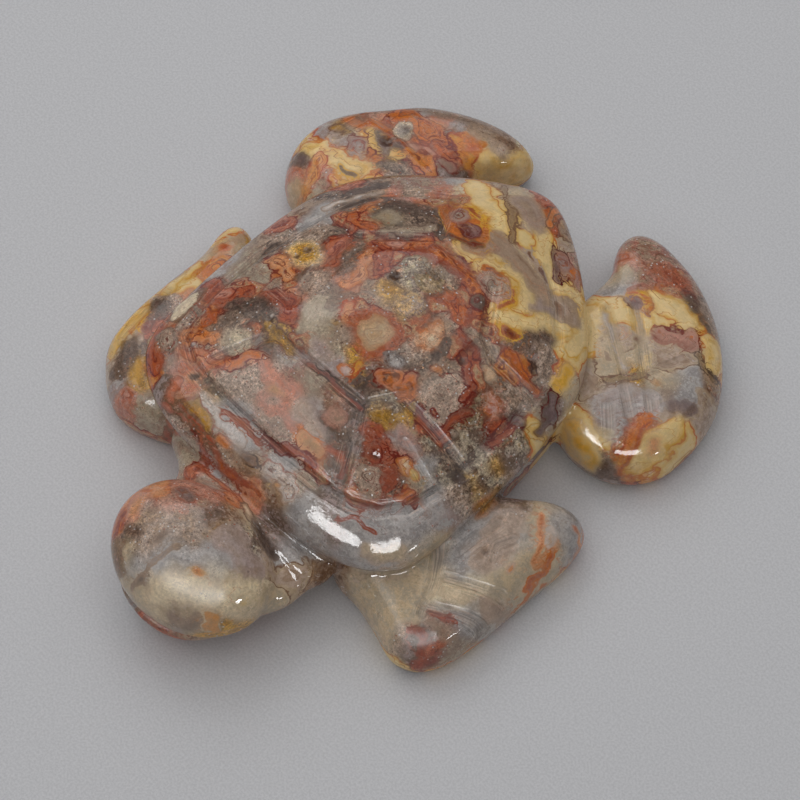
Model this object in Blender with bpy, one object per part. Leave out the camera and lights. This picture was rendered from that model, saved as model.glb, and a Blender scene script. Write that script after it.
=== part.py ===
# Turtle carved from one solid piece of polished jasper, lying on its flat belly.
# Metres, +Z up. The head points to -Y and the tail end of the shell to +Y.
# The outlines are drawn in millimetres in a plan whose line x = 0 is the turtle's
# long axis. Near means the side at positive x and far the side at negative x.
# The finished stone is moved so that the middle of its box stands over the
# origin and its belly lies on z = 0.

import math

import bmesh
import bpy
import numpy as np
from mathutils import Vector

MM = 0.001

# Heights and sizes of the main forms, millimetres.
SHELL_TOP = 30.0
SHELL_RIM = 14.6
SHELL_MIDDLE = (0.0, 1.0)
FRONT_FLIPPER_TOP = 13.2
REAR_FLIPPER_TOP = 13.4
FLIPPER_FALL = 0.13
HEAD_CENTRE = (3.1, -47.6, 12.2)
HEAD_HALF = (14.9, 11.9, 9.7)
HEAD_FULLNESS = 2.08
JAW_CENTRE = (2.8, -48.9, 6.6)
JAW_HALF = (11.8, 10.3, 4.2)
JAW_FULLNESS = 2.2

# Carved lines, millimetres.
GROOVE_WIDTH = 2.1
GROOVE_DEPTH = 0.8
MOUTH_HEIGHT = 8.5
MOUTH_DROP = 1.0
MOUTH_WIDTH = 2.6
MOUTH_DEPTH = 0.9
MOUTH_LENGTH = 11.0

# How the forms are fused into one skin, millimetres.
CELL = 0.7
SOFTENING_STEPS = 5
BELLY_CUT = 0.35
MERGE_GAP = 0.05
TRIANGLES = 9300

STONE_COLOUR = (0.50, 0.33, 0.25, 1.0)
STONE_ROUGHNESS = 0.22

# Edge of the shell, near half, from the middle of the front to the tail.
SHELL_HALF = [
    (0.0, -34.3), (9.0, -34.2), (16.0, -33.6), (21.5, -32.2), (26.0, -29.8),
    (29.3, -26.4), (30.8, -21.5), (31.3, -14.0), (31.4, -6.0), (31.2, 1.0),
    (30.6, 8.0), (29.6, 14.0), (27.6, 19.5), (24.4, 24.3), (20.2, 28.8),
    (16.0, 32.4), (12.0, 35.6), (8.0, 38.3), (4.0, 40.5),
]
SHELL_TAIL = (0.0, 41.5)

# Share of the shell's outline at each height, below and above the rim.
SHELL_UNDERSIDE = [(0.80, 3.0), (0.90, 8.0), (0.945, 10.6), (0.975, 12.2), (0.994, 13.4)]
SHELL_DOME = [
    (0.994, 0.075), (0.977, 0.150), (0.948, 0.218), (0.905, 0.292), (0.83, 0.398),
    (0.72, 0.556), (0.60, 0.702), (0.46, 0.832), (0.32, 0.925), (0.18, 0.978),
    (0.06, 0.997),
]
BELLY_ROWS = [
    (0.80, -0.5), (0.885, 0.7), (0.93, 2.4), (0.95, 5.0), (0.95, 9.0), (0.93, 12.0),
]

# Flippers seen from above. The first points run round the free edge and the
# last ones close the outline underneath the shell.
NEAR_FRONT = [
    (19.5, -31.6), (25.5, -32.4), (31.0, -33.9), (36.0, -35.4), (40.0, -34.4),
    (42.8, -30.5), (44.2, -25.0), (44.8, -18.0), (45.3, -10.0), (45.6, -3.0),
    (44.6, 2.0), (41.6, 4.0), (37.6, 3.0), (33.6, -0.2), (28.0, -4.0),
    (20.0, -6.0), (14.0, -16.0), (14.5, -27.0),
]
FAR_FRONT = [
    (-17.5, -32.0), (-22.5, -34.4), (-27.5, -35.3), (-31.6, -34.0), (-35.6, -31.0),
    (-38.2, -27.4), (-39.3, -21.0), (-39.2, -13.0), (-38.7, -4.4), (-39.7, 1.2),
    (-39.0, 4.1), (-36.2, 4.6), (-32.4, 2.2), (-28.0, -2.0), (-20.0, -6.0),
    (-14.0, -16.0), (-13.5, -27.0),
]
NEAR_REAR = [
    (14.6, 40.0), (12.8, 43.6), (11.2, 47.2), (11.9, 50.8), (15.4, 52.4),
    (20.2, 52.2), (25.6, 51.1), (31.2, 48.7), (36.4, 45.3), (41.0, 40.6),
    (44.5, 35.0), (46.2, 27.8), (45.6, 20.0), (41.6, 14.4), (36.0, 12.0),
    (29.0, 12.6), (20.0, 17.0), (15.0, 28.0),
]
FAR_REAR = [
    (-14.4, 39.0), (-12.0, 43.0), (-10.3, 46.6), (-11.0, 49.6), (-15.0, 50.5),
    (-19.9, 49.8), (-25.6, 47.5), (-31.4, 43.8), (-36.1, 38.4), (-40.4, 33.0),
    (-43.0, 27.2), (-42.6, 21.2), (-39.6, 16.2), (-35.0, 13.6), (-29.0, 13.6),
    (-20.0, 18.0), (-15.0, 28.0),
]

# Outline, middle of the scaled copies and top of each flipper.
FLIPPERS = [
    (NEAR_FRONT, (29.0, -18.0), FRONT_FLIPPER_TOP),
    (FAR_FRONT, (-27.0, -17.0), FRONT_FLIPPER_TOP),
    (NEAR_REAR, (28.0, 32.0), REAR_FLIPPER_TOP),
    (FAR_REAR, (-28.0, 32.0), REAR_FLIPPER_TOP),
]
FLIPPER_LOW_ROWS = [
    (0.86, -0.5), (0.925, 0.5), (0.97, 1.8), (0.995, 3.6), (1.0, 5.0), (0.988, 6.8),
]
FLIPPER_TOP_ROWS = [
    (0.955, 0.68), (0.90, 0.80), (0.80, 0.905), (0.66, 0.965), (0.45, 0.992), (0.2, 1.0),
]

# The neck as round sections: y, middle x, half width, lowest and highest z.
# The two necked-in sections are the carved rings on each side of the collar.
NECK_SECTIONS = [
    (-22.0, 1.0, 18.0, 1.5, 14.0),
    (-31.0, 1.0, 19.0, 2.4, 14.8),
    (-33.8, 1.9, 18.4, 3.2, 13.4),
    (-34.9, 2.9, 17.4, 3.6, 14.0),
    (-36.0, 3.9, 16.3, 4.0, 15.5),
    (-37.4, 4.4, 15.2, 4.0, 15.7),
    (-38.4, 4.6, 14.8, 4.0, 14.4),
    (-40.0, 4.6, 14.8, 4.0, 14.4),
    (-42.5, 4.8, 14.2, 4.2, 14.4),
    (-46.0, 5.0, 12.4, 5.0, 14.0),
]
NECK_ROUNDNESS = 0.92

# Carved lines in plan, each with its share of the full depth. The first group
# is cut into the shell and the second into the flippers.
FRONT_MARGIN = [
    (-24.5, -22.5), (-20.0, -25.2), (-14.0, -26.5), (-6.0, -27.0), (4.0, -27.3),
    (12.0, -26.9), (18.0, -25.8), (22.0, -23.8), (25.0, -20.0), (26.2, -14.0),
]
NEAR_MARGIN = [
    (26.2, -14.0), (26.4, -6.0), (26.4, 2.0), (25.8, 9.0), (24.0, 15.0),
    (21.0, 20.2), (16.0, 25.2), (11.0, 28.6),
]
FAR_MARGIN = [
    (-24.5, -22.5), (-26.4, -14.0), (-26.0, -3.0), (-24.0, 6.0), (-22.0, 12.5),
    (-19.5, 19.0), (-15.0, 23.6), (-9.0, 27.8),
]
SHELL_LINES = [
    (1.0, FRONT_MARGIN),
    (0.45, NEAR_MARGIN),
    (0.8, FAR_MARGIN),
    (1.0, [(-11.5, -14.3), (-4.0, -14.1), (3.0, -14.2), (9.0, -14.2)]),
    (0.9, [(9.0, -14.2), (11.5, -18.5), (14.5, -24.5)]),
    (0.8, [(-11.0, -15.0), (-16.5, -23.5)]),
    (0.7, [(9.0, -14.2), (13.2, -8.0)]),
    (0.9, [(13.2, -8.6), (20.0, -8.4), (27.0, -8.2)]),
    (0.7, [(-12.5, -8.6), (-20.0, -7.4), (-25.0, -7.0)]),
    (0.35, [(13.2, -8.0), (14.8, 0.0), (14.6, 8.0)]),
    (0.9, [(14.4, 9.4), (18.0, 8.0), (25.6, 9.2)]),
    (0.8, [(14.4, 9.4), (11.4, 13.6), (8.6, 17.6)]),
    (0.6, [(-4.0, 17.0), (2.0, 16.2), (8.6, 17.0)]),
    (0.9, [(-4.0, 17.4), (-10.5, 11.0), (-14.5, 8.4), (-21.0, 9.2)]),
    (0.35, [(-12.4, -8.0), (-14.6, 0.0), (-14.5, 8.4)]),
    (0.8, [(-4.0, 18.0), (-6.6, 22.4), (-9.0, 27.6)]),
    (0.5, [(18.0, -13.4), (25.0, -14.8)]),
]
FLIPPER_LINES = [
    (0.55, [(30.0, -17.0), (34.0, -23.0), (36.5, -28.5)]),
    (0.6, [(35.0, -21.4), (43.4, -16.8)]),
    (0.6, [(35.4, -27.4), (45.0, -21.8)]),
    (0.6, [(20.0, 33.8), (26.0, 30.0), (31.0, 26.4)]),
    (0.6, [(23.5, 37.2), (32.0, 30.0), (38.4, 24.6)]),
    (0.6, [(31.5, 25.2), (37.6, 20.6)]),
    (0.5, [(32.8, 20.4), (37.4, 15.8)]),
    (0.4, [(30.0, 22.0), (32.4, 27.4), (36.0, 36.0)]),
    (0.6, [(-35.5, 34.0), (-28.0, 34.6), (-22.0, 33.5)]),
    (0.5, [(-36.4, 33.0), (-37.2, 27.0)]),
    (0.5, [(-36.6, -20.0), (-36.0, -26.0)]),
]


def clear_scene():
    for item in list(bpy.data.objects):
        bpy.data.objects.remove(item, do_unlink=True)


def even_ring(points, count):
    """Closed smooth curve through the points, resampled at even steps."""
    total = len(points)
    xy = np.array(points, dtype=float)
    share = np.linspace(0.0, 1.0, 16, endpoint=False)[:, None]
    fine = []
    for i in range(total):
        a = xy[i - 1]
        b = xy[i]
        c = xy[(i + 1) % total]
        d = xy[(i + 2) % total]
        bend = (2.0 * a - 5.0 * b + 4.0 * c - d) * share ** 2
        twist = (3.0 * b - a - 3.0 * c + d) * share ** 3
        fine.append((2.0 * b + (c - a) * share + bend + twist) * 0.5)
    fine = np.vstack(fine)
    shut = np.vstack([fine, fine[:1]])
    run = np.concatenate([[0.0], np.cumsum(np.hypot(*np.diff(shut, axis=0).T))])
    at = np.linspace(0.0, run[-1], count, endpoint=False)
    return np.stack([np.interp(at, run, shut[:, 0]), np.interp(at, run, shut[:, 1])], 1)


def skin_loops(bm, loops):
    """Join a stack of closed point loops side by side and close both ends."""
    rings = [[bm.verts.new(tuple(p)) for p in loop] for loop in loops]
    count = len(rings[0])
    for low, high in zip(rings[:-1], rings[1:]):
        for i in range(count):
            j = (i + 1) % count
            bm.faces.new((low[i], low[j], high[j], high[i]))
    bm.faces.new(list(reversed(rings[0])))
    bm.faces.new(rings[-1])


def stacked_copies(ring, middle, rows):
    """Copies of a plan outline, each scaled about the middle and set at its height."""
    centre = np.array(middle)
    loops = []
    for scale, z in rows:
        plan = centre + (ring - centre) * scale
        loops.append(np.column_stack([plan, np.full(len(plan), z)]))
    return loops


def shell_ring(count):
    far_half = [(-x, y) for x, y in SHELL_HALF[:0:-1]]
    return even_ring(SHELL_HALF + [SHELL_TAIL] + far_half, count)


def add_shell(bm):
    rise = SHELL_TOP - SHELL_RIM
    rows = SHELL_UNDERSIDE + [(1.0, SHELL_RIM)]
    rows += [(scale, SHELL_RIM + rise * share) for scale, share in SHELL_DOME]
    skin_loops(bm, stacked_copies(shell_ring(120), SHELL_MIDDLE, rows))


def add_belly(bm):
    skin_loops(bm, stacked_copies(shell_ring(96), SHELL_MIDDLE, BELLY_ROWS))


def add_flipper(bm, outline, middle, top):
    """Pillow-shaped flipper whose upper side falls a little away from the shell."""
    rows = FLIPPER_LOW_ROWS + [(scale, top * share) for scale, share in FLIPPER_TOP_ROWS]
    loops = stacked_copies(even_ring(outline, 84), middle, rows)
    root = math.hypot(*middle) - 10.0
    reach = 26.0
    for loop in loops:
        out = np.clip((np.hypot(loop[:, 0], loop[:, 1]) - root) / reach, 0.0, 1.0)
        loop[:, 2] *= 1.0 - FLIPPER_FALL * out
    skin_loops(bm, loops)


def add_neck(bm):
    turn = np.linspace(0.0, 2.0 * math.pi, 48, endpoint=False)
    across = np.sign(np.cos(turn)) * np.abs(np.cos(turn)) ** NECK_ROUNDNESS
    up = np.sign(np.sin(turn)) * np.abs(np.sin(turn)) ** NECK_ROUNDNESS
    loops = []
    for y, middle_x, half, low, high in NECK_SECTIONS:
        x = middle_x + half * across
        z = (low + high) / 2.0 + (high - low) / 2.0 * up
        loops.append(np.column_stack([x, np.full(len(x), y), z]))
    skin_loops(bm, loops)


def add_egg(bm, centre, half, fullness):
    """Ball drawn out to three half sizes. A fullness above 2 makes it squarer."""
    made = bmesh.ops.create_uvsphere(bm, u_segments=64, v_segments=40, radius=1.0)
    for v in made["verts"]:
        size = sum(abs(c) ** fullness for c in v.co) ** (1.0 / fullness)
        spot = v.co / size
        narrow = 1.0 - 0.05 * max(0.0, -spot.y)
        v.co.x = centre[0] + half[0] * spot.x * narrow
        v.co.y = centre[1] + half[1] * spot.y
        v.co.z = centre[2] + half[2] * spot.z


def rough_turtle():
    """All forms as overlapping closed bodies in one mesh, millimetres."""
    bm = bmesh.new()
    add_shell(bm)
    add_belly(bm)
    for outline, middle, top in FLIPPERS:
        add_flipper(bm, outline, middle, top)
    add_neck(bm)
    add_egg(bm, HEAD_CENTRE, HEAD_HALF, HEAD_FULLNESS)
    add_egg(bm, JAW_CENTRE, JAW_HALF, JAW_FULLNESS)
    bmesh.ops.recalc_face_normals(bm, faces=bm.faces)
    mesh = bpy.data.meshes.new("turtle_mesh")
    bm.to_mesh(mesh)
    bm.free()
    obj = bpy.data.objects.new("turtle", mesh)
    bpy.context.scene.collection.objects.link(obj)
    return obj


def use_modifiers(obj):
    """Give the object the mesh that its modifiers produce."""
    graph = bpy.context.evaluated_depsgraph_get()
    result = bpy.data.meshes.new_from_object(obj.evaluated_get(graph))
    obj.modifiers.clear()
    obj.data = result


def fuse(obj):
    remesh = obj.modifiers.new("fuse", "REMESH")
    remesh.mode = "VOXEL"
    remesh.voxel_size = CELL
    soften = obj.modifiers.new("soften", "SMOOTH")
    soften.factor = 0.5
    soften.iterations = SOFTENING_STEPS
    use_modifiers(obj)


def distance_to_run(xy, run):
    """Plan distance from many points to a run of straight pieces."""
    best = np.full(len(xy), np.inf)
    for a, b in zip(run[:-1], run[1:]):
        start = np.array(a)
        step = np.array(b) - start
        share = np.clip(((xy - start) @ step) / (step @ step), 0.0, 1.0)
        gap = xy - (start + share[:, None] * step)
        best = np.minimum(best, np.hypot(gap[:, 0], gap[:, 1]))
    return best


def groove_depth(co, normal):
    """How deep each point of the skin is cut by the carved lines and the mouth."""
    depth = np.zeros(len(co))
    faces_up = normal[:, 2] > 0.15
    on_shell = faces_up & (co[:, 2] > SHELL_RIM - 0.2)
    on_flipper = faces_up & (co[:, 2] < SHELL_RIM) & (co[:, 2] > 5.0)
    for zone, lines in ((on_shell, SHELL_LINES), (on_flipper, FLIPPER_LINES)):
        for share, run in lines:
            off = distance_to_run(co[:, :2], run) / (GROOVE_WIDTH / 2.0)
            cut = np.clip(1.0 - off ** 2, 0.0, 1.0) ** 0.8
            depth = np.maximum(depth, np.where(zone, cut * share * GROOVE_DEPTH, 0.0))
    snout = HEAD_CENTRE[1] - HEAD_HALF[1]
    behind = (co[:, 1] - snout) / MOUTH_LENGTH
    line = MOUTH_HEIGHT - MOUTH_DROP * np.clip(behind, 0.0, 1.0)
    off = (co[:, 2] - line) / (MOUTH_WIDTH / 2.0)
    cut = np.clip(1.0 - off ** 2, 0.0, 1.0) * np.clip(2.4 * (1.0 - behind), 0.0, 1.0)
    on_head = co[:, 1] < snout + MOUTH_LENGTH
    return np.maximum(depth, np.where(on_head, cut * MOUTH_DEPTH, 0.0))


def carve(obj):
    mesh = obj.data
    co = np.empty(len(mesh.vertices) * 3)
    normal = np.empty(len(mesh.vertices) * 3)
    mesh.vertices.foreach_get("co", co)
    mesh.vertices.foreach_get("normal", normal)
    co = co.reshape(-1, 3)
    normal = normal.reshape(-1, 3)
    co -= normal * groove_depth(co, normal)[:, None]
    mesh.vertices.foreach_set("co", co.ravel())
    mesh.update()


def thin_out(obj):
    thin = obj.modifiers.new("thin", "DECIMATE")
    thin.decimate_type = "COLLAPSE"
    thin.ratio = min(1.0, TRIANGLES / (2.0 * len(obj.data.polygons)))
    use_modifiers(obj)


def cut_belly_and_place(obj):
    """Cut the belly flat, then centre the stone over the origin, in metres."""
    bm = bmesh.new()
    bm.from_mesh(obj.data)
    cut = bmesh.ops.bisect_plane(
        bm, geom=bm.verts[:] + bm.edges[:] + bm.faces[:], dist=1e-5,
        plane_co=(0.0, 0.0, BELLY_CUT), plane_no=(0.0, 0.0, -1.0), clear_outer=True,
    )
    rim = [e for e in cut["geom_cut"] if isinstance(e, bmesh.types.BMEdge)]
    bmesh.ops.contextual_create(bm, geom=rim)
    bmesh.ops.remove_doubles(bm, verts=bm.verts, dist=MERGE_GAP)
    bmesh.ops.triangulate(bm, faces=[f for f in bm.faces if len(f.verts) > 3])
    bmesh.ops.recalc_face_normals(bm, faces=bm.faces)
    spots = np.array([v.co for v in bm.verts])
    low = spots.min(axis=0)
    high = spots.max(axis=0)
    shift = Vector(((low[0] + high[0]) / 2.0, (low[1] + high[1]) / 2.0, low[2]))
    for v in bm.verts:
        v.co = (v.co - shift) * MM
    for face in bm.faces:
        face.smooth = True
    bm.to_mesh(obj.data)
    bm.free()
    print("moved by", [round(-c, 3) for c in shift], "mm")
    print("size", [round(float(c), 2) for c in high - low], "mm")


def give_material(obj):
    stone = bpy.data.materials.new("polished_jasper")
    stone.use_nodes = True
    surface = stone.node_tree.nodes["Principled BSDF"]
    surface.inputs["Base Color"].default_value = STONE_COLOUR
    surface.inputs["Roughness"].default_value = STONE_ROUGHNESS
    surface.inputs["Metallic"].default_value = 0.0
    obj.data.materials.clear()
    obj.data.materials.append(stone)


def build_turtle():
    clear_scene()
    turtle = rough_turtle()
    fuse(turtle)
    carve(turtle)
    thin_out(turtle)
    cut_belly_and_place(turtle)
    give_material(turtle)


build_turtle()
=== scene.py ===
# Looks of the polished stone turtle: its fine skin, its agate pattern, camera and light.
# The pattern is drawn in the plan of part.py, in millimetres: the head points to -y,
# near means the side at positive x and far the side at negative x. Lists of given places
# say which kind of stone lies where, and which strokes, orbs and fine lines lie over it
# in that order. The finest marks are noise, which the shader adds.

import math

import bmesh
import bpy
import numpy as np
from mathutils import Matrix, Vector, noise
from mathutils.geometry import delaunay_2d_cdt
from mathutils.kdtree import KDTree


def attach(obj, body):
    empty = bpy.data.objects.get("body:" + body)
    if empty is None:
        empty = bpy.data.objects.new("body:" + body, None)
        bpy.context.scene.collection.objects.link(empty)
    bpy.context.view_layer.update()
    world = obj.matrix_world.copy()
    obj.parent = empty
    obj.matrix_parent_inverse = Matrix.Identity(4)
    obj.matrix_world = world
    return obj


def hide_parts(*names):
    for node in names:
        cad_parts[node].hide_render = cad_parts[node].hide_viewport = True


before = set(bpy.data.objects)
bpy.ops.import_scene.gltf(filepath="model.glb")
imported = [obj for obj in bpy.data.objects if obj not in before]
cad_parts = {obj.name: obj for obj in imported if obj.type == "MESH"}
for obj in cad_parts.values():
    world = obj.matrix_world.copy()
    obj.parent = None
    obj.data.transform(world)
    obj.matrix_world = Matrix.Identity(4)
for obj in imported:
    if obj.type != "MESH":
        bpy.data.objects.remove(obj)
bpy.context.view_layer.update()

MM = 0.001

# The turtle's forms, as in part.py, millimetres.
SHELL_TOP = 30.0
SHELL_RIM = 14.6
SHELL_MIDDLE = (0.0, 1.0)
FRONT_FLIPPER_TOP = 13.2
REAR_FLIPPER_TOP = 13.4
FLIPPER_FALL = 0.13
FLIPPER_ROOT = 10.0
FLIPPER_REACH = 26.0
HEAD_CENTRE = (3.1, -47.6, 12.2)
HEAD_HALF = (14.9, 11.9, 9.7)
HEAD_FULLNESS = 2.08
JAW_CENTRE = (2.8, -48.9, 6.6)
JAW_HALF = (11.8, 10.3, 4.2)
JAW_FULLNESS = 2.2
EGG_NARROWING = 0.05
BELLY_CUT = 0.35

# Carved lines: their width and depth, how full their section is, how wide the scratches
# beside them reach and how far past their ends, and where the lines may lie.
GROOVE_WIDTH = 2.1
GROOVE_DEPTH = 0.8
GROOVE_FULLNESS = 0.8
SCUFF_WIDTH = 4.6
SCUFF_END = 0.9
LINE_FACING = 0.15
SHELL_LINES_ABOVE = SHELL_RIM - 0.2
FLIPPER_LINES_ABOVE = 5.0

# How much darker than its depth a line is drawn, as painted shade and dirt in the carved
# line, and the shift that gives each line scratches of its own.
CUT_DARKENING = 0.3
SCRATCH_SHIFT = 10.0

# The mouth: a line around the snout that fades out to the back. Its dark red is partly
# the stone's red and partly painted shade in the carved slit.
MOUTH_HEIGHT = 8.5
MOUTH_DROP = 1.0
MOUTH_WIDTH = 2.6
MOUTH_DEPTH = 0.9
MOUTH_LENGTH = 11.0
MOUTH_FADE = 2.4

# The middle of the plan's box, which part.py sets over the origin.
PLAN_SHIFT = (1.579, -3.551, 0.35)

# The skin here is finer than the solid's and is softened over the same distance.
CELL = 0.455
SOFTENING = 0.5
SOFTENING_STEPS = 12

# Points on a curve between two given places, around each form, and up the egg.
CURVE_STEPS = 16
SHELL_POINTS = 120
BELLY_POINTS = 96
FLIPPER_POINTS = 84
NECK_POINTS = 48
EGG_POINTS = (64, 40)

# How far apart the points of the flat belly lie, and the gaps that count as none: when
# the skin is cut, when its points are merged there, and when the net is drawn.
BELLY_STEP = 2.0
CUT_GAP = 1e-5
MERGE_GAP = 0.05
NET_GAP = 1e-6

SHELL_HALF = [
    (0.0, -34.3), (9.0, -34.2), (16.0, -33.6), (21.5, -32.2), (26.0, -29.8),
    (29.3, -26.4), (30.8, -21.5), (31.3, -14.0), (31.4, -6.0), (31.2, 1.0),
    (30.6, 8.0), (29.6, 14.0), (27.6, 19.5), (24.4, 24.3), (20.2, 28.8),
    (16.0, 32.4), (12.0, 35.6), (8.0, 38.3), (4.0, 40.5),
]
SHELL_TAIL = (0.0, 41.5)
SHELL_UNDERSIDE = [(0.80, 3.0), (0.90, 8.0), (0.945, 10.6), (0.975, 12.2), (0.994, 13.4)]
SHELL_DOME = [
    (0.994, 0.075), (0.977, 0.150), (0.948, 0.218), (0.905, 0.292), (0.83, 0.398),
    (0.72, 0.556), (0.60, 0.702), (0.46, 0.832), (0.32, 0.925), (0.18, 0.978),
    (0.06, 0.997),
]
BELLY_ROWS = [
    (0.80, -0.5), (0.885, 0.7), (0.93, 2.4), (0.95, 5.0), (0.95, 9.0), (0.93, 12.0),
]
NEAR_FRONT = [
    (19.5, -31.6), (25.5, -32.4), (31.0, -33.9), (36.0, -35.4), (40.0, -34.4),
    (42.8, -30.5), (44.2, -25.0), (44.8, -18.0), (45.3, -10.0), (45.6, -3.0),
    (44.6, 2.0), (41.6, 4.0), (37.6, 3.0), (33.6, -0.2), (28.0, -4.0),
    (20.0, -6.0), (14.0, -16.0), (14.5, -27.0),
]
FAR_FRONT = [
    (-17.5, -32.0), (-22.5, -34.4), (-27.5, -35.3), (-31.6, -34.0), (-35.6, -31.0),
    (-38.2, -27.4), (-39.3, -21.0), (-39.2, -13.0), (-38.7, -4.4), (-39.7, 1.2),
    (-39.0, 4.1), (-36.2, 4.6), (-32.4, 2.2), (-28.0, -2.0), (-20.0, -6.0),
    (-14.0, -16.0), (-13.5, -27.0),
]
NEAR_REAR = [
    (14.6, 40.0), (12.8, 43.6), (11.2, 47.2), (11.9, 50.8), (15.4, 52.4),
    (20.2, 52.2), (25.6, 51.1), (31.2, 48.7), (36.4, 45.3), (41.0, 40.6),
    (44.5, 35.0), (46.2, 27.8), (45.6, 20.0), (41.6, 14.4), (36.0, 12.0),
    (29.0, 12.6), (20.0, 17.0), (15.0, 28.0),
]
FAR_REAR = [
    (-14.4, 39.0), (-12.0, 43.0), (-10.3, 46.6), (-11.0, 49.6), (-15.0, 50.5),
    (-19.9, 49.8), (-25.6, 47.5), (-31.4, 43.8), (-36.1, 38.4), (-40.4, 33.0),
    (-43.0, 27.2), (-42.6, 21.2), (-39.6, 16.2), (-35.0, 13.6), (-29.0, 13.6),
    (-20.0, 18.0), (-15.0, 28.0),
]
FLIPPERS = [
    (NEAR_FRONT, (29.0, -18.0), FRONT_FLIPPER_TOP),
    (FAR_FRONT, (-27.0, -17.0), FRONT_FLIPPER_TOP),
    (NEAR_REAR, (28.0, 32.0), REAR_FLIPPER_TOP),
    (FAR_REAR, (-28.0, 32.0), REAR_FLIPPER_TOP),
]
FLIPPER_LOW_ROWS = [
    (0.86, -0.5), (0.925, 0.5), (0.97, 1.8), (0.995, 3.6), (1.0, 5.0), (0.988, 6.8),
]
FLIPPER_TOP_ROWS = [
    (0.955, 0.68), (0.90, 0.80), (0.80, 0.905), (0.66, 0.965), (0.45, 0.992), (0.2, 1.0),
]
NECK_SECTIONS = [
    (-22.0, 1.0, 18.0, 1.5, 14.0),
    (-31.0, 1.0, 19.0, 2.4, 14.8),
    (-33.8, 1.9, 18.4, 3.2, 13.4),
    (-34.9, 2.9, 17.4, 3.6, 14.0),
    (-36.0, 3.9, 16.3, 4.0, 15.5),
    (-37.4, 4.4, 15.2, 4.0, 15.7),
    (-38.4, 4.6, 14.8, 4.0, 14.4),
    (-40.0, 4.6, 14.8, 4.0, 14.4),
    (-42.5, 4.8, 14.2, 4.2, 14.4),
    (-46.0, 5.0, 12.4, 5.0, 14.0),
]
NECK_ROUNDNESS = 0.92
FRONT_MARGIN = [
    (-24.5, -22.5), (-20.0, -25.2), (-14.0, -26.5), (-6.0, -27.0), (4.0, -27.3),
    (12.0, -26.9), (18.0, -25.8), (22.0, -23.8), (25.0, -20.0), (26.2, -14.0),
]
NEAR_MARGIN = [
    (26.2, -14.0), (26.4, -6.0), (26.4, 2.0), (25.8, 9.0), (24.0, 15.0),
    (21.0, 20.2), (16.0, 25.2), (11.0, 28.6),
]
FAR_MARGIN = [
    (-24.5, -22.5), (-26.4, -14.0), (-26.0, -3.0), (-24.0, 6.0), (-22.0, 12.5),
    (-19.5, 19.0), (-15.0, 23.6), (-9.0, 27.8),
]
SHELL_LINES = [
    (1.0, FRONT_MARGIN),
    (0.45, NEAR_MARGIN),
    (0.8, FAR_MARGIN),
    (1.0, [(-11.5, -14.3), (-4.0, -14.1), (3.0, -14.2), (9.0, -14.2)]),
    (0.9, [(9.0, -14.2), (11.5, -18.5), (14.5, -24.5)]),
    (0.8, [(-11.0, -15.0), (-16.5, -23.5)]),
    (0.7, [(9.0, -14.2), (13.2, -8.0)]),
    (0.9, [(13.2, -8.6), (20.0, -8.4), (27.0, -8.2)]),
    (0.7, [(-12.5, -8.6), (-20.0, -7.4), (-25.0, -7.0)]),
    (0.35, [(13.2, -8.0), (14.8, 0.0), (14.6, 8.0)]),
    (0.9, [(14.4, 9.4), (18.0, 8.0), (25.6, 9.2)]),
    (0.8, [(14.4, 9.4), (11.4, 13.6), (8.6, 17.6)]),
    (0.6, [(-4.0, 17.0), (2.0, 16.2), (8.6, 17.0)]),
    (0.9, [(-4.0, 17.4), (-10.5, 11.0), (-14.5, 8.4), (-21.0, 9.2)]),
    (0.35, [(-12.4, -8.0), (-14.6, 0.0), (-14.5, 8.4)]),
    (0.8, [(-4.0, 18.0), (-6.6, 22.4), (-9.0, 27.6)]),
    (0.5, [(18.0, -13.4), (25.0, -14.8)]),
]
FLIPPER_LINES = [
    (0.9, [(30.0, -17.0), (34.0, -23.0), (36.5, -28.5)]),
    (0.9, [(35.0, -21.4), (43.4, -16.8)]),
    (0.9, [(35.4, -27.4), (45.0, -21.8)]),
    (0.5, [(33.4, -18.6), (33.8, -13.4), (34.6, -8.4)]),
    (0.5, [(38.4, -13.6), (37.3, -11.3), (38.4, -8.6)]),
    (0.6, [(20.0, 33.8), (26.0, 30.0), (31.0, 26.4)]),
    (0.6, [(23.5, 37.2), (32.0, 30.0), (38.4, 24.6)]),
    (0.6, [(31.5, 25.2), (37.6, 20.6)]),
    (0.5, [(32.8, 20.4), (37.4, 15.8)]),
    (0.4, [(30.0, 22.0), (32.4, 27.4), (36.0, 36.0)]),
    (0.6, [(-35.5, 34.0), (-28.0, 34.6), (-22.0, 33.5)]),
    (0.5, [(-36.4, 33.0), (-37.2, 27.0)]),
    (0.5, [(-36.6, -20.0), (-36.0, -26.0)]),
]

# Open pits in the polished skin: plan x, y, radius and depth, millimetres. They lie on
# upward faces. Their colour is darkened as painted shade inside them, fully from the
# second depth on.
PIT_FACING = 0.2
DARK_PIT_DEPTH = 0.3
PITS = [
    (22.4, 12.4, 0.9, 0.45), (-18.8, 1.6, 1.0, 0.4), (-19.3, -0.4, 0.8, 0.35),
    (27.0, -9.7, 0.9, 0.4), (-17.3, -26.6, 0.8, 0.4), (15.0, 3.5, 0.8, 0.4),
    (16.2, -18.1, 0.8, 0.3), (-29.0, 36.0, 1.1, 0.4), (-29.6, 31.7, 1.2, 0.4),
    (-3.0, 6.5, 1.0, 0.35), (19.6, 17.0, 0.6, 0.25), (-13.2, -12.7, 0.7, 0.3),
    (36.6, -13.6, 0.7, 0.25), (-4.5, -52.5, 0.6, 0.2), (-1.2, -53.0, 0.6, 0.25),
]

# Places that are satin rather than mirror-like: plan x, y and radius. The brow and the end
# of the near front flipper. The core is the share of the radius that is fully satin.
SATIN_PATCHES = [(7.0, -54.0, 9.0), (38.5, -34.0, 6.0)]
SATIN_CORE = 0.7
SATIN_ROUGHNESS = 0.32

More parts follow.
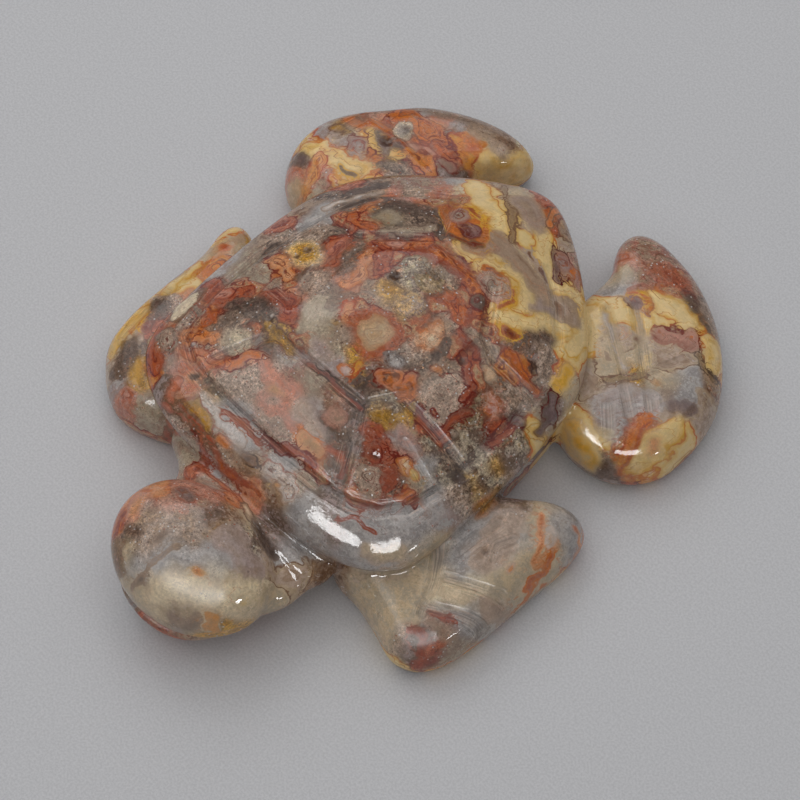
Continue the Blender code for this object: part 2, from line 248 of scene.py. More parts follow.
# Colours of the stone under neutral light, sRGB.
COLOURS = {
    "ivory": (232, 214, 184),
    "butter": (238, 210, 156),
    "yellow": (226, 176, 88),
    "ochre": (184, 136, 60),
    "gold_brown": (150, 112, 52),
    "olive": (148, 124, 88),
    "cream_grey": (186, 170, 148),
    "beige": (208, 186, 156),
    "tan": (194, 158, 122),
    "taupe": (172, 146, 124),
    "brown": (128, 94, 72),
    "umber": (80, 58, 48),
    "peach": (220, 162, 122),
    "orange": (206, 122, 70),
    "red_orange": (180, 92, 64),
    "brick": (156, 86, 68),
    "dark_red": (122, 48, 38),
    "maroon": (98, 42, 40),
    "salmon": (200, 128, 102),
    "pink": (202, 152, 136),
    "rose": (170, 120, 104),
    "lilac": (170, 150, 144),
    "violet": (122, 100, 100),
    "white": (220, 214, 210),
    "milk": (194, 171, 154),
    "grey": (161, 137, 119),
    "haze_grey": (135, 116, 102),
    "smoke": (122, 101, 87),
    "slate": (88, 72, 64),
    "pearl": (188, 181, 177),
    "ash": (158, 151, 148),
    "terracotta": (184, 114, 86),
    "amber": (218, 152, 88),
}

# How much stronger than mixed the colours are.
COLOUR_STRENGTH = 1.07

# Kinds of ground between the orbs: colours of the outline, the edge, the body and the
# pale patches, then how strongly it is banded, how grainy it is and how many millimetres
# it takes to melt into its neighbour.
GROUNDS = {
    "lace": ("dark_red", "red_orange", "terracotta", "tan", 0.9, 0.25, 0.25),
    "ember": ("dark_red", "red_orange", "orange", "amber", 0.7, 0.05, 0.3),
    "brickwork": ("dark_red", "red_orange", "brick", "salmon", 0.7, 0.2, 0.35),
    "blush": ("brick", "peach", "pink", "salmon", 0.5, 0.15, 0.6),
    "rosy": ("brick", "pink", "rose", "taupe", 0.5, 0.35, 0.7),
    "speckle": ("smoke", "grey", "milk", "taupe", 0.2, 0.65, 0.8),
    "quartz": ("smoke", "grey", "grey", "milk", 0.2, 0.75, 0.8),
    "dusk": ("umber", "smoke", "slate", "grey", 0.25, 0.6, 0.9),
    "moss": ("umber", "olive", "smoke", "cream_grey", 0.25, 0.7, 0.8),
    "milky": ("haze_grey", "pearl", "pearl", "ash", 0.0, 0.12, 1.4),
    "mist": ("grey", "lilac", "lilac", "pearl", 0.05, 0.12, 1.2),
    "cloud": ("smoke", "cream_grey", "cream_grey", "grey", 0.2, 0.2, 0.9),
    "haze": ("slate", "smoke", "smoke", "lilac", 0.2, 0.2, 0.9),
    "cream": ("orange", "yellow", "butter", "butter", 0.05, -0.3, 0.25),
    "custard": ("red_orange", "orange", "yellow", "butter", 0.2, -0.2, 0.3),
    "sand": ("taupe", "beige", "beige", "cream_grey", 0.05, 0.05, 1.2),
    "chalk": ("taupe", "beige", "ivory", "beige", 0.05, 0.1, 1.2),
    "tawny": ("brown", "beige", "taupe", "milk", 0.45, -0.1, 0.4),
    "bark": ("umber", "tan", "brown", "taupe", 0.45, 0.15, 0.8),
    "gold": ("brown", "olive", "ochre", "yellow", 0.25, 0.4, 0.8),
}

# Where each kind of ground lies, plan millimetres.
GROUND_PLACES = {
    "lace": [
        (-24, -11), (-26, -14), (-21, -10), (-22.5, -17), (-24, -19.5), (-24.5, -22),
        (-27, -22), (-29, -21.5), (-14, -16), (-7, -13), (-28, -26.5), (4, -6), (6, -2.5),
        (17, -8.3), (20.3, -6.6), (20, -23.5), (-15.5, 6), (-7, 6), (-8.5, 8), (-6, 4.5),
        (-12.5, 9.8), (-17, 9.8), (-19, 11), (-17.5, 12.5), (-14, 12.6), (-5, 14.5),
        (-1, 15), (2, 15.2), (5, 14.8), (8, 11), (6, 8.5), (12, 10.5), (15, 11.5), (12, 6),
        (14.5, 5.5), (17.5, 2.5), (26.3, 1.5), (4.5, -0.3), (-3, -3.5), (-11, 25), (-9, 28),
        (-22, 37), (-19, 38), (-23, 34.4), (-36, 33), (39.5, 22), (40, 18), (-14, -32),
        (1, -37.5), (-16, -5.6), (10, -25.6), (22, 46.2), (24.8, 45.2), (-35.5, 21),
    ],
    "ember": [
        (-21, -20.5), (-24.5, -28.6), (-20.5, -3.5), (10, -22), (-18.3, 15), (-3, 27.6),
        (-29, 38), (-25.4, 37), (-32, 37), (-21, 40.2), (-26.5, 31), (-28, 27), (-11, -45),
        (3, 38), (21, 10.3), (41.5, 15), (-34, -6.5), (-36.2, -21.6), (23.4, -19),
        (-18, 41.4),
    ],
    "brickwork": [
        (-16, -10.5), (-12, -10.8), (13, -16), (16, -17), (-13.5, -23), (0, 39.4),
        (5.5, 36.6), (-9, -42), (42.5, -31), (-31.8, 34.6), (24.6, 1), (20.6, -3), (-29, 4),
        (-33, -22), (-9.5, -52), (-28, 18), (-6.5, -36.5),
    ],
    "blush": [
        (-14, -6), (-17, -24), (-9, -19.5), (-2, -19.4), (-4.5, -21.6), (-1, -22),
        (2, -22.6), (-22, -26), (-18, -30), (-12.4, 22.2), (-12.5, 27.5), (-8, -48),
        (-10, -48.6), (-35, 35.4), (-37, 16.5), (-26, 42.6), (-27, -34), (2.4, -35),
        (15.5, 43), (-8, 0.5), (-18, 20.5), (6, -24.4), (-10.5, -43.5),
    ],
    "rosy": [
        (-3, -17), (5.5, -16.5), (-19, 24), (20, 48), (27, 47), (16, 47), (20.4, 42.4),
        (-3, -42.4), (-5, -40), (0, -41), (-4, -46), (11.5, 34.6), (-34, 19), (33.5, 38.4),
        (41, -28), (-17, 27.8), (13.5, 49.5), (-5, -43.6), (19, -12.6), (13.4, 32.8),
    ],
    "speckle": [
        (-8, -22.4), (-11, -23.4), (-6, -17), (-2.5, -49), (0, -44.4), (3, -46),
        (-5, -50.6), (-17.5, -7.6), (0, -25), (13.5, 8), (16.6, 8.6), (10, 7), (16, 0),
        (17, -3.5), (19, -18.5), (15, -21), (-15, 25.6), (-4, 2), (1, 3), (17.5, -21.5),
        (0.5, -20.3), (-1.4, -54), (36, -33), (-20, 46.6), (-5, -33.6), (-2, -38),
        (-1, -35), (-6, -31),
    ],
    "quartz": [
        (-20.4, -17), (-25.5, -18), (-26, -21), (-19, -22.3), (-22, 5.5), (3, 13.4),
        (-17, 24.6), (21, 16.6), (24, 13.6), (24, 8), (-25, 29), (30, -12), (-15, -33.4),
        (-34, -17), (-35, -19), (-27, 2), (8.4, -2.2),
    ],
    "dusk": [
        (-20, -14), (-17, -12.4), (-18, -16.4), (-19, 8), (-15, 8.2), (-10.3, 4), (-3, 6.5),
        (-5, 20), (-8, 21.8), (-13, 19.2), (-10, 19), (-16.4, 17), (-19.6, 17),
        (-22.8, 19.5), (-20.6, 14), (-24, 14.8), (-27, 14), (24, -8.8), (11.6, -2.5),
        (10.6, -19.6), (-23, 26.4), (-30, 15.6), (29.6, 45.6), (-5, -53.4), (-32.4, -27.4),
        (21.2, -20), (-25.5, -0.6), (6, -10.6), (-25.8, 30.2), (-10.4, 12.6),
    ],
    "moss": [
        (1, 10), (-1, 8), (3, 10.6), (-2, 11), (23.4, -4), (27, -5), (28, 2.4), (28, -1),
        (12.6, -10.6), (20.6, -10.4), (25, -11.4), (-13, -14), (-2, -8.6), (-12.6, -25.6),
        (31, -9), (30, -5.6), (9, -41), (23, -1.4),
    ],
    "milky": [
        (27.4, -16), (28, -21), (27, -25), (23.4, -25), (20, -28), (-8, -28.4), (-2, -29.4),
        (5, -29), (-24, 8), (-25.6, 10.6), (37, -8), (33, -12), (41, -1), (44, 0.6),
        (36, -17), (42.6, -20.4), (40, -28), (8, -46.6), (6, -50.6), (3.4, -54),
        (12, -46.4), (19, 38), (-33.4, 39.6), (-30, 41.6), (38.6, 33.4), (-5, -35.4),
        (14, -36), (0, -57), (23.6, -13), (40.6, 30.6), (-13, 33), (24, -21.6), (10.4, -49),
        (42, -25.5), (28.4, -23), (28, -26), (22, -30.6), (26.6, -29.4), (12.6, -31.4),
        (17, -32),
    ],
    "mist": [
        (3, -19.8), (7, -21.6), (-21.6, -22.8), (0.4, -12.2), (16.6, -12.6), (10, -44),
        (13, -43), (-38, 26.6), (-36, 27.4), (32.6, 21.4), (36, 18.4), (38, 24.6), (35, 22),
        (-30.4, -9), (-31, -6), (-37.6, -9.6), (-24, 43.4), (-30, -33), (42, 10.6),
        (30, -15.4), (-28.4, 44), (-6, -15.6),
    ],
    "cloud": [
        (-29, -3), (-27, -7), (-23, -5.6), (-8, -9), (-15, -19), (-1, -16.4), (-13.6, 15.6),
        (23.6, -16.6), (44, -29.5), (-16, 45), (-7, -5.4), (-12, -35.6), (9, -29.4),
        (29, 9), (-24, -33), (-3, -8.8), (37, 28.6),
    ],
    "haze": [
        (-11, -15.6), (13, -19.4), (6, -19.6), (12, -24.2), (-24, -27.4), (-21, -30.4),
        (19.4, 13.6), (27.5, 12), (26.8, 4.2), (18, -31), (6.4, -8.8), (3, -42.4),
        (10, -35.6), (39.4, 12.6), (10.6, 31.6), (-19, 35.4), (10, -57.6), (-29.5, -12),
        # (34.6, -4.6), by the near front flipper's root, is painted shade of the gap there.
        (14, -28.4), (34.6, -4.6), (39.4, -32), (9, -16), (-16, 36.6), (33, 46),
        (-38.6, 19.6), (26.6, -2), (-23, 42.4), (29.6, -1.6),
    ],
    "cream": [
        (-5, 30), (0, 29), (-8, 33), (-1, 32), (5, 30), (8, 32.6), (14, 30), (19.5, 29),
        (22, 25), (17.6, 31), (24, 22), (20.4, 20.6), (12.6, 17), (10, 21.6), (5, 20.4),
        (15, 17.6), (17.4, 19.4), (13.4, 14.6), (1.6, 17.8), (19, 32), (29, 6), (26, 41.6),
        (31, 42), (28, 39.4), (43.6, 25), (44.6, 21), (33, 14), (35.4, 13.6), (22, 34.6),
        (26, 35.4), (-12, 46.4), (-11, 48.4), (-13, 42), (-35.6, -14), (20, 27),
        (-36, -10.6), (24.4, 25), (16, -46), (8, 29.8),
    ],
    "custard": [
        (26.4, 16.4), (40.4, 39.6), (37.6, 41.8), (-32.6, 31.4), (-30, 25), (-32, 22.4),
        (-39.6, 22.6), (-16, 39.6), (-38, 0), (-38.4, -3.6), (-38, -15.6), (-38, -20),
        (-37, -24.4), (-29, -29.4), (-27, 29.2), (-36.6, 2.6), (33, 42.6), (-27.4, 24.4),
        (43, 17.4),
    ],
    "sand": [
        (-3, 36), (-6, 37), (32, -20), (33, -26), (30, -30.4), (27, -33), (25, 27.6),
        (30, 30), (28, 24.6), (29.4, 16.6), (-36, -0.6), (-37.4, -5.6), (-34, 14.6),
        (36, 30.6), (44.6, 15.6), (37.4, 44.6), (33.6, -33.6), (-35.6, -27.6), (35, -29.6),
        (42.4, -15.6), (17, 40.4), (-3.4, -56), (5.6, -37.6), (38.6, -2), (31, -23.4),
        (44, -7), (43.4, -10), (40.5, -4), (18, -42.5), (2, -59.6), (7.4, -58.8),
        (10, -57.4),
    ],
    "chalk": [
        (37.4, -22.6), (11, -50.4), (13.4, -48.4), (9, -53.4), (6, -55.6), (4, -58),
        (16.4, -43), (40.4, -19), (-9.6, 31.4), (13, -55.4), (17, -49),
    ],
    "tawny": [
        (3.6, 24.6), (8, 23.8), (12, 22.8), (16.4, 26.6), (17.6, 23.6), (3, 21.6),
        (3, 33.4), (9.4, 35), (24, 31), (27, 32.4), (30.4, 37), (32.4, 35.4), (35.6, 36.4),
        (41, 26.4), (16.4, 29), (-36.6, 30.8), (-34, -26), (0, 35.6), (36.4, 43.4),
        (14.6, -41), (43.4, 32.4), (12.6, 26), (-32, -31.4), (27.6, 22), (7, 27),
        (33.6, 33.8), (17, -39),
    ],
    "bark": [
        (4, -16), (-1, -31), (-22, 23.6), (-8, 37.4), (6.4, 37.4), (14.6, -21.2),
        (6.4, -31), (-14.4, 47.8), (12.4, -6.4), (-38.4, 31.6), (42, 37), (-28, 10),
        (6, -43.4), (-29, 0.6), (5, -40), (-6, -57), (21, -35),
    ],
    "gold": [
        (-10.4, -14.2), (12.4, -13), (-11.6, -30), (2.6, -8.4), (29, -3), (31, -8.6),
        (-37, 29), (-2, 4), (15.4, -9.8), (-27, -31.4), (17, -53.6), (31.6, 27),
    ],
}

# How sharply an orb or a stroke is drawn, by the colour of its outline.
SHARPNESS = {
    "dark_red": 0.85, "maroon": 0.8, "red_orange": 0.7, "brick": 0.55, "orange": 0.6,
    "yellow": 0.7, "umber": 0.45, "brown": 0.35, "slate": 0.3, "smoke": 0.2,
}
OTHER_SHARPNESS = 0.35

# Orbs and eyes: plan x, y, half sizes, turn in degrees, then the colours of the core, the
# middle, the rim and the outline, and how grainy the orb is.
ORBS = [
    (-3.2, 23.4, 6.4, 3.7, -14, "orange orange orange yellow", 0.05),
    (11.5, -7.8, 0.6, 0.4, 0, "umber umber brown orange", 0),
    (-27.6, 35.6, 0.6, 0.3, 0, "dark_red dark_red brick umber", 0),
    (42.8, 20.6, 1.4, 2, 0, "peach peach butter butter", 0),
    (9, -51.6, 1, 0.6, 0, "dark_red brick orange yellow", 0.2),
    (1.4, -59.3, 0.9, 0.5, 0, "orange yellow yellow butter", 0),
    (34, 16.4, 1, 0.5, -20, "gold_brown tan beige milk", 0),
    (-25.5, -1, 0.8, 1.4, 0, "slate slate smoke umber", 0.3),
    (-18.8, 0.8, 3.7, 2.8, 0, "ochre yellow ivory smoke", 0.8),
    (-12.5, -3, 3.6, 2.7, 0, "milk grey smoke slate", 0.7),
    (2, -3.4, 2.9, 2.7, 0, "tan beige tan salmon", 0.1),
    (-4, -6.9, 0.5, 0.5, 0, "yellow yellow ochre umber", 0),
    (-1.5, -7, 1.9, 1.5, 0, "grey milk grey smoke", 0.6),
    (-3, -11.4, 2.3, 1.5, 0, "lilac lilac milk grey", 0.2),
    (-13.1, -12.7, 0.6, 0.6, 0, "white white milk slate", 0),
    (-15, -19, 3.3, 2.6, 10, "ivory cream_grey grey slate", 0.3),
    (-24.4, -13, 2.4, 1.4, 20, "pink salmon red_orange dark_red", 0.1),
    (-23.5, -15.5, 1.2, 0.7, 0, "peach peach orange dark_red", 0),
    (-25, -17.3, 2, 1, -15, "milk grey grey slate", 0.4),
    (-29, -17.5, 1.9, 3.4, 4, "ivory ivory ivory umber", 0),
    (-26.2, -24.3, 2.8, 2.4, 0, "milk grey smoke brick", 0.5),
    (-9.5, -16.6, 1.8, 1.4, 0, "slate smoke smoke umber", 0.2),
    (-3.8, -20.5, 2.2, 1.3, 10, "olive peach pink salmon", 0),
    (-3, -22.4, 1.4, 1, 0, "grey milk pink salmon", 0.3),
    (0.2, -24.9, 5, 1.3, 3, "grey milk milk pink", 0.6),
    (-5.6, -31.2, 1.7, 0.9, 0, "orange orange peach brick", 0),
    # This dark orb is painted shade.
    (-0.5, -30.8, 1.6, 0.6, -6, "umber brown brown umber", 0),
    (-22.5, -27, 1.2, 1.4, 0, "grey milk lilac smoke", 0.3),
    # Its umber core is painted shade inside the pit at this place.
    (-17.3, -26.6, 0.8, 0.5, -20, "umber white milk smoke", 0),
    (7.5, -4.8, 1.9, 1.4, 0, "white slate slate umber", 0.3),
    (17, -3.3, 4.3, 4.5, 0, "grey milk milk smoke", 0.65),
    (17.6, -6.1, 1, 0.35, 35, "orange orange red_orange dark_red", 0),
    (22.3, -5.8, 1.1, 0.9, 0, "milk grey slate umber", 0.2),
    (13.6, -0.8, 1.5, 0.9, 20, "orange orange peach dark_red", 0),
    (2.8, -11.3, 1.6, 1, 0, "pink white pink orange", 0),
    (4.2, -9.9, 0.8, 1.7, 15, "orange orange yellow red_orange", 0),
    (18, -12.4, 3, 1.6, -8, "salmon lilac lilac grey", 0.1),
    # Its umber core is painted shade inside the pit at this place.
    (27, -9.7, 0.9, 0.8, 0, "umber umber slate umber", 0.2),
    (20.4, -16, 1.9, 1.3, -20, "ivory orange orange dark_red", 0.1),
    (22.5, -15.4, 1.2, 0.9, 0, "ivory butter yellow orange", 0),
    # Its umber core is painted shade inside the pit at this place.
    (16.2, -18.1, 2, 1.4, 0, "umber red_orange brick dark_red", 0.1),
    (17.6, -21.6, 3.1, 2.5, 0, "grey milk grey brick", 0.5),
    (17.2, -24.2, 1.4, 0.8, 0, "salmon salmon peach brick", 0.1),
    (6.5, -17.6, 2.2, 2.2, 0, "pink taupe rose umber", 0.1),
    (6.6, -24.1, 2.8, 1.5, -8, "olive peach peach orange", 0),
    (6.6, -30.8, 0.6, 0.5, 0, "orange orange ochre brown", 0),
    (-8, 11.5, 1.5, 1.2, 25, "pink pink salmon dark_red", 0),
    (2, 9.6, 2.6, 1.8, 20, "cream_grey olive olive umber", 0.8),
    (-13.4, 15.6, 2.8, 2.3, 0, "olive cream_grey slate slate", 0.2),
    (-1.2, 22.9, 2.6, 2.1, -14, "lilac maroon maroon orange", 0),
    (-5.4, 24.3, 2.6, 1.8, -12, "grey lilac rose brick", 0.1),
    (8.6, 17.9, 3.9, 2.9, 0, "grey milk pink brick", 0.35),
    (16.3, 13.5, 1.9, 1.2, 10, "maroon dark_red orange yellow", 0),
    # Its umber core is painted shade inside the pit at this place.
    (22.4, 12.4, 0.9, 0.8, 0, "umber ochre brown umber", 0),
    (13.2, 32.2, 0.4, 0.8, -20, "dark_red red_orange orange orange", 0),
    (2.4, 4, 3.1, 2.8, 0, "yellow milk smoke slate", 0.6),
    (8.6, 2.4, 2.2, 3, 10, "ivory peach orange slate", 0.2),
    (11.4, 3, 1.2, 2.6, 10, "smoke slate slate umber", 0.3),
    (9.2, 13, 1.5, 1.5, 0, "slate smoke slate dark_red", 0.3),
    (19.4, 5.6, 1.9, 1.6, 0, "ivory peach grey umber", 0.2),
    (22.5, 2.2, 1.7, 2.1, 0, "white red_orange orange slate", 0),
    (26.6, 4.3, 1.1, 1.4, 0, "violet violet smoke maroon", 0),
    # Its umber core is painted shade inside the pit at this place.
    (15, 3.5, 1.4, 1.1, 0, "umber brown orange dark_red", 0),
    (23.5, 38.6, 3.1, 1.9, 15, "orange red_orange orange brick", 0),
    (22.7, 37.4, 2, 1.3, 18, "violet lilac violet maroon", 0),
    (26.2, 37.6, 0.8, 0.45, 0, "maroon brick brick rose", 0),
    (27.7, 32.6, 0.45, 0.45, -20, "maroon maroon dark_red taupe", 0),
    (18.2, 25.4, 1.7, 1.2, 20, "taupe milk taupe ivory", 0),
    (18.2, 25.4, 0.8, 0.5, 20, "rose taupe milk brown", 0),
    (36, 29, 0.5, 0.4, 0, "orange orange ochre tan", 0),
    (25.8, 33.8, 0.5, 0.4, 0, "ochre yellow yellow yellow", 0),
    (35.6, 16.4, 1.4, 1, 0, "gold_brown beige ivory milk", 0),
    (39, -2.6, 0.6, 0.8, 20, "maroon red_orange orange peach", 0),
    (40.8, -12.8, 0.5, 0.9, 0, "red_orange orange peach milk", 0),
    (-29.2, 35.6, 2.1, 1.9, 15, "white cream_grey ivory umber", 0.6),
    (-18.4, 41.2, 1.6, 1, 0, "salmon red_orange orange orange", 0),
    (-19.2, 35.8, 2.2, 1.2, 20, "grey smoke rose dark_red", 0.1),
    (-38.6, 19.4, 1.3, 1.8, 0, "slate violet smoke umber", 0.1),
    (-25.4, 28.6, 2.6, 1.4, 20, "grey slate slate umber", 0.8),
    (-35.3, -2.2, 1.3, 1.4, 0, "red_orange red_orange orange tan", 0),
    (-33.4, -22.6, 1.2, 1.2, 0, "maroon dark_red brick umber", 0.1),
    (-9, -45.6, 0.6, 0.5, 0, "dark_red red_orange orange orange", 0),
    (-5.8, -48, 1.3, 1.1, 0, "white lilac milk smoke", 0.4),
    (8.6, -51.4, 1.4, 0.9, 0, "red_orange orange yellow ivory", 0.2),
    (16.3, -47.6, 0.7, 1.2, 0, "orange yellow butter ivory", 0),
    (3, -50.7, 0.6, 0.5, 0, "olive ochre ochre slate", 0.2),
]

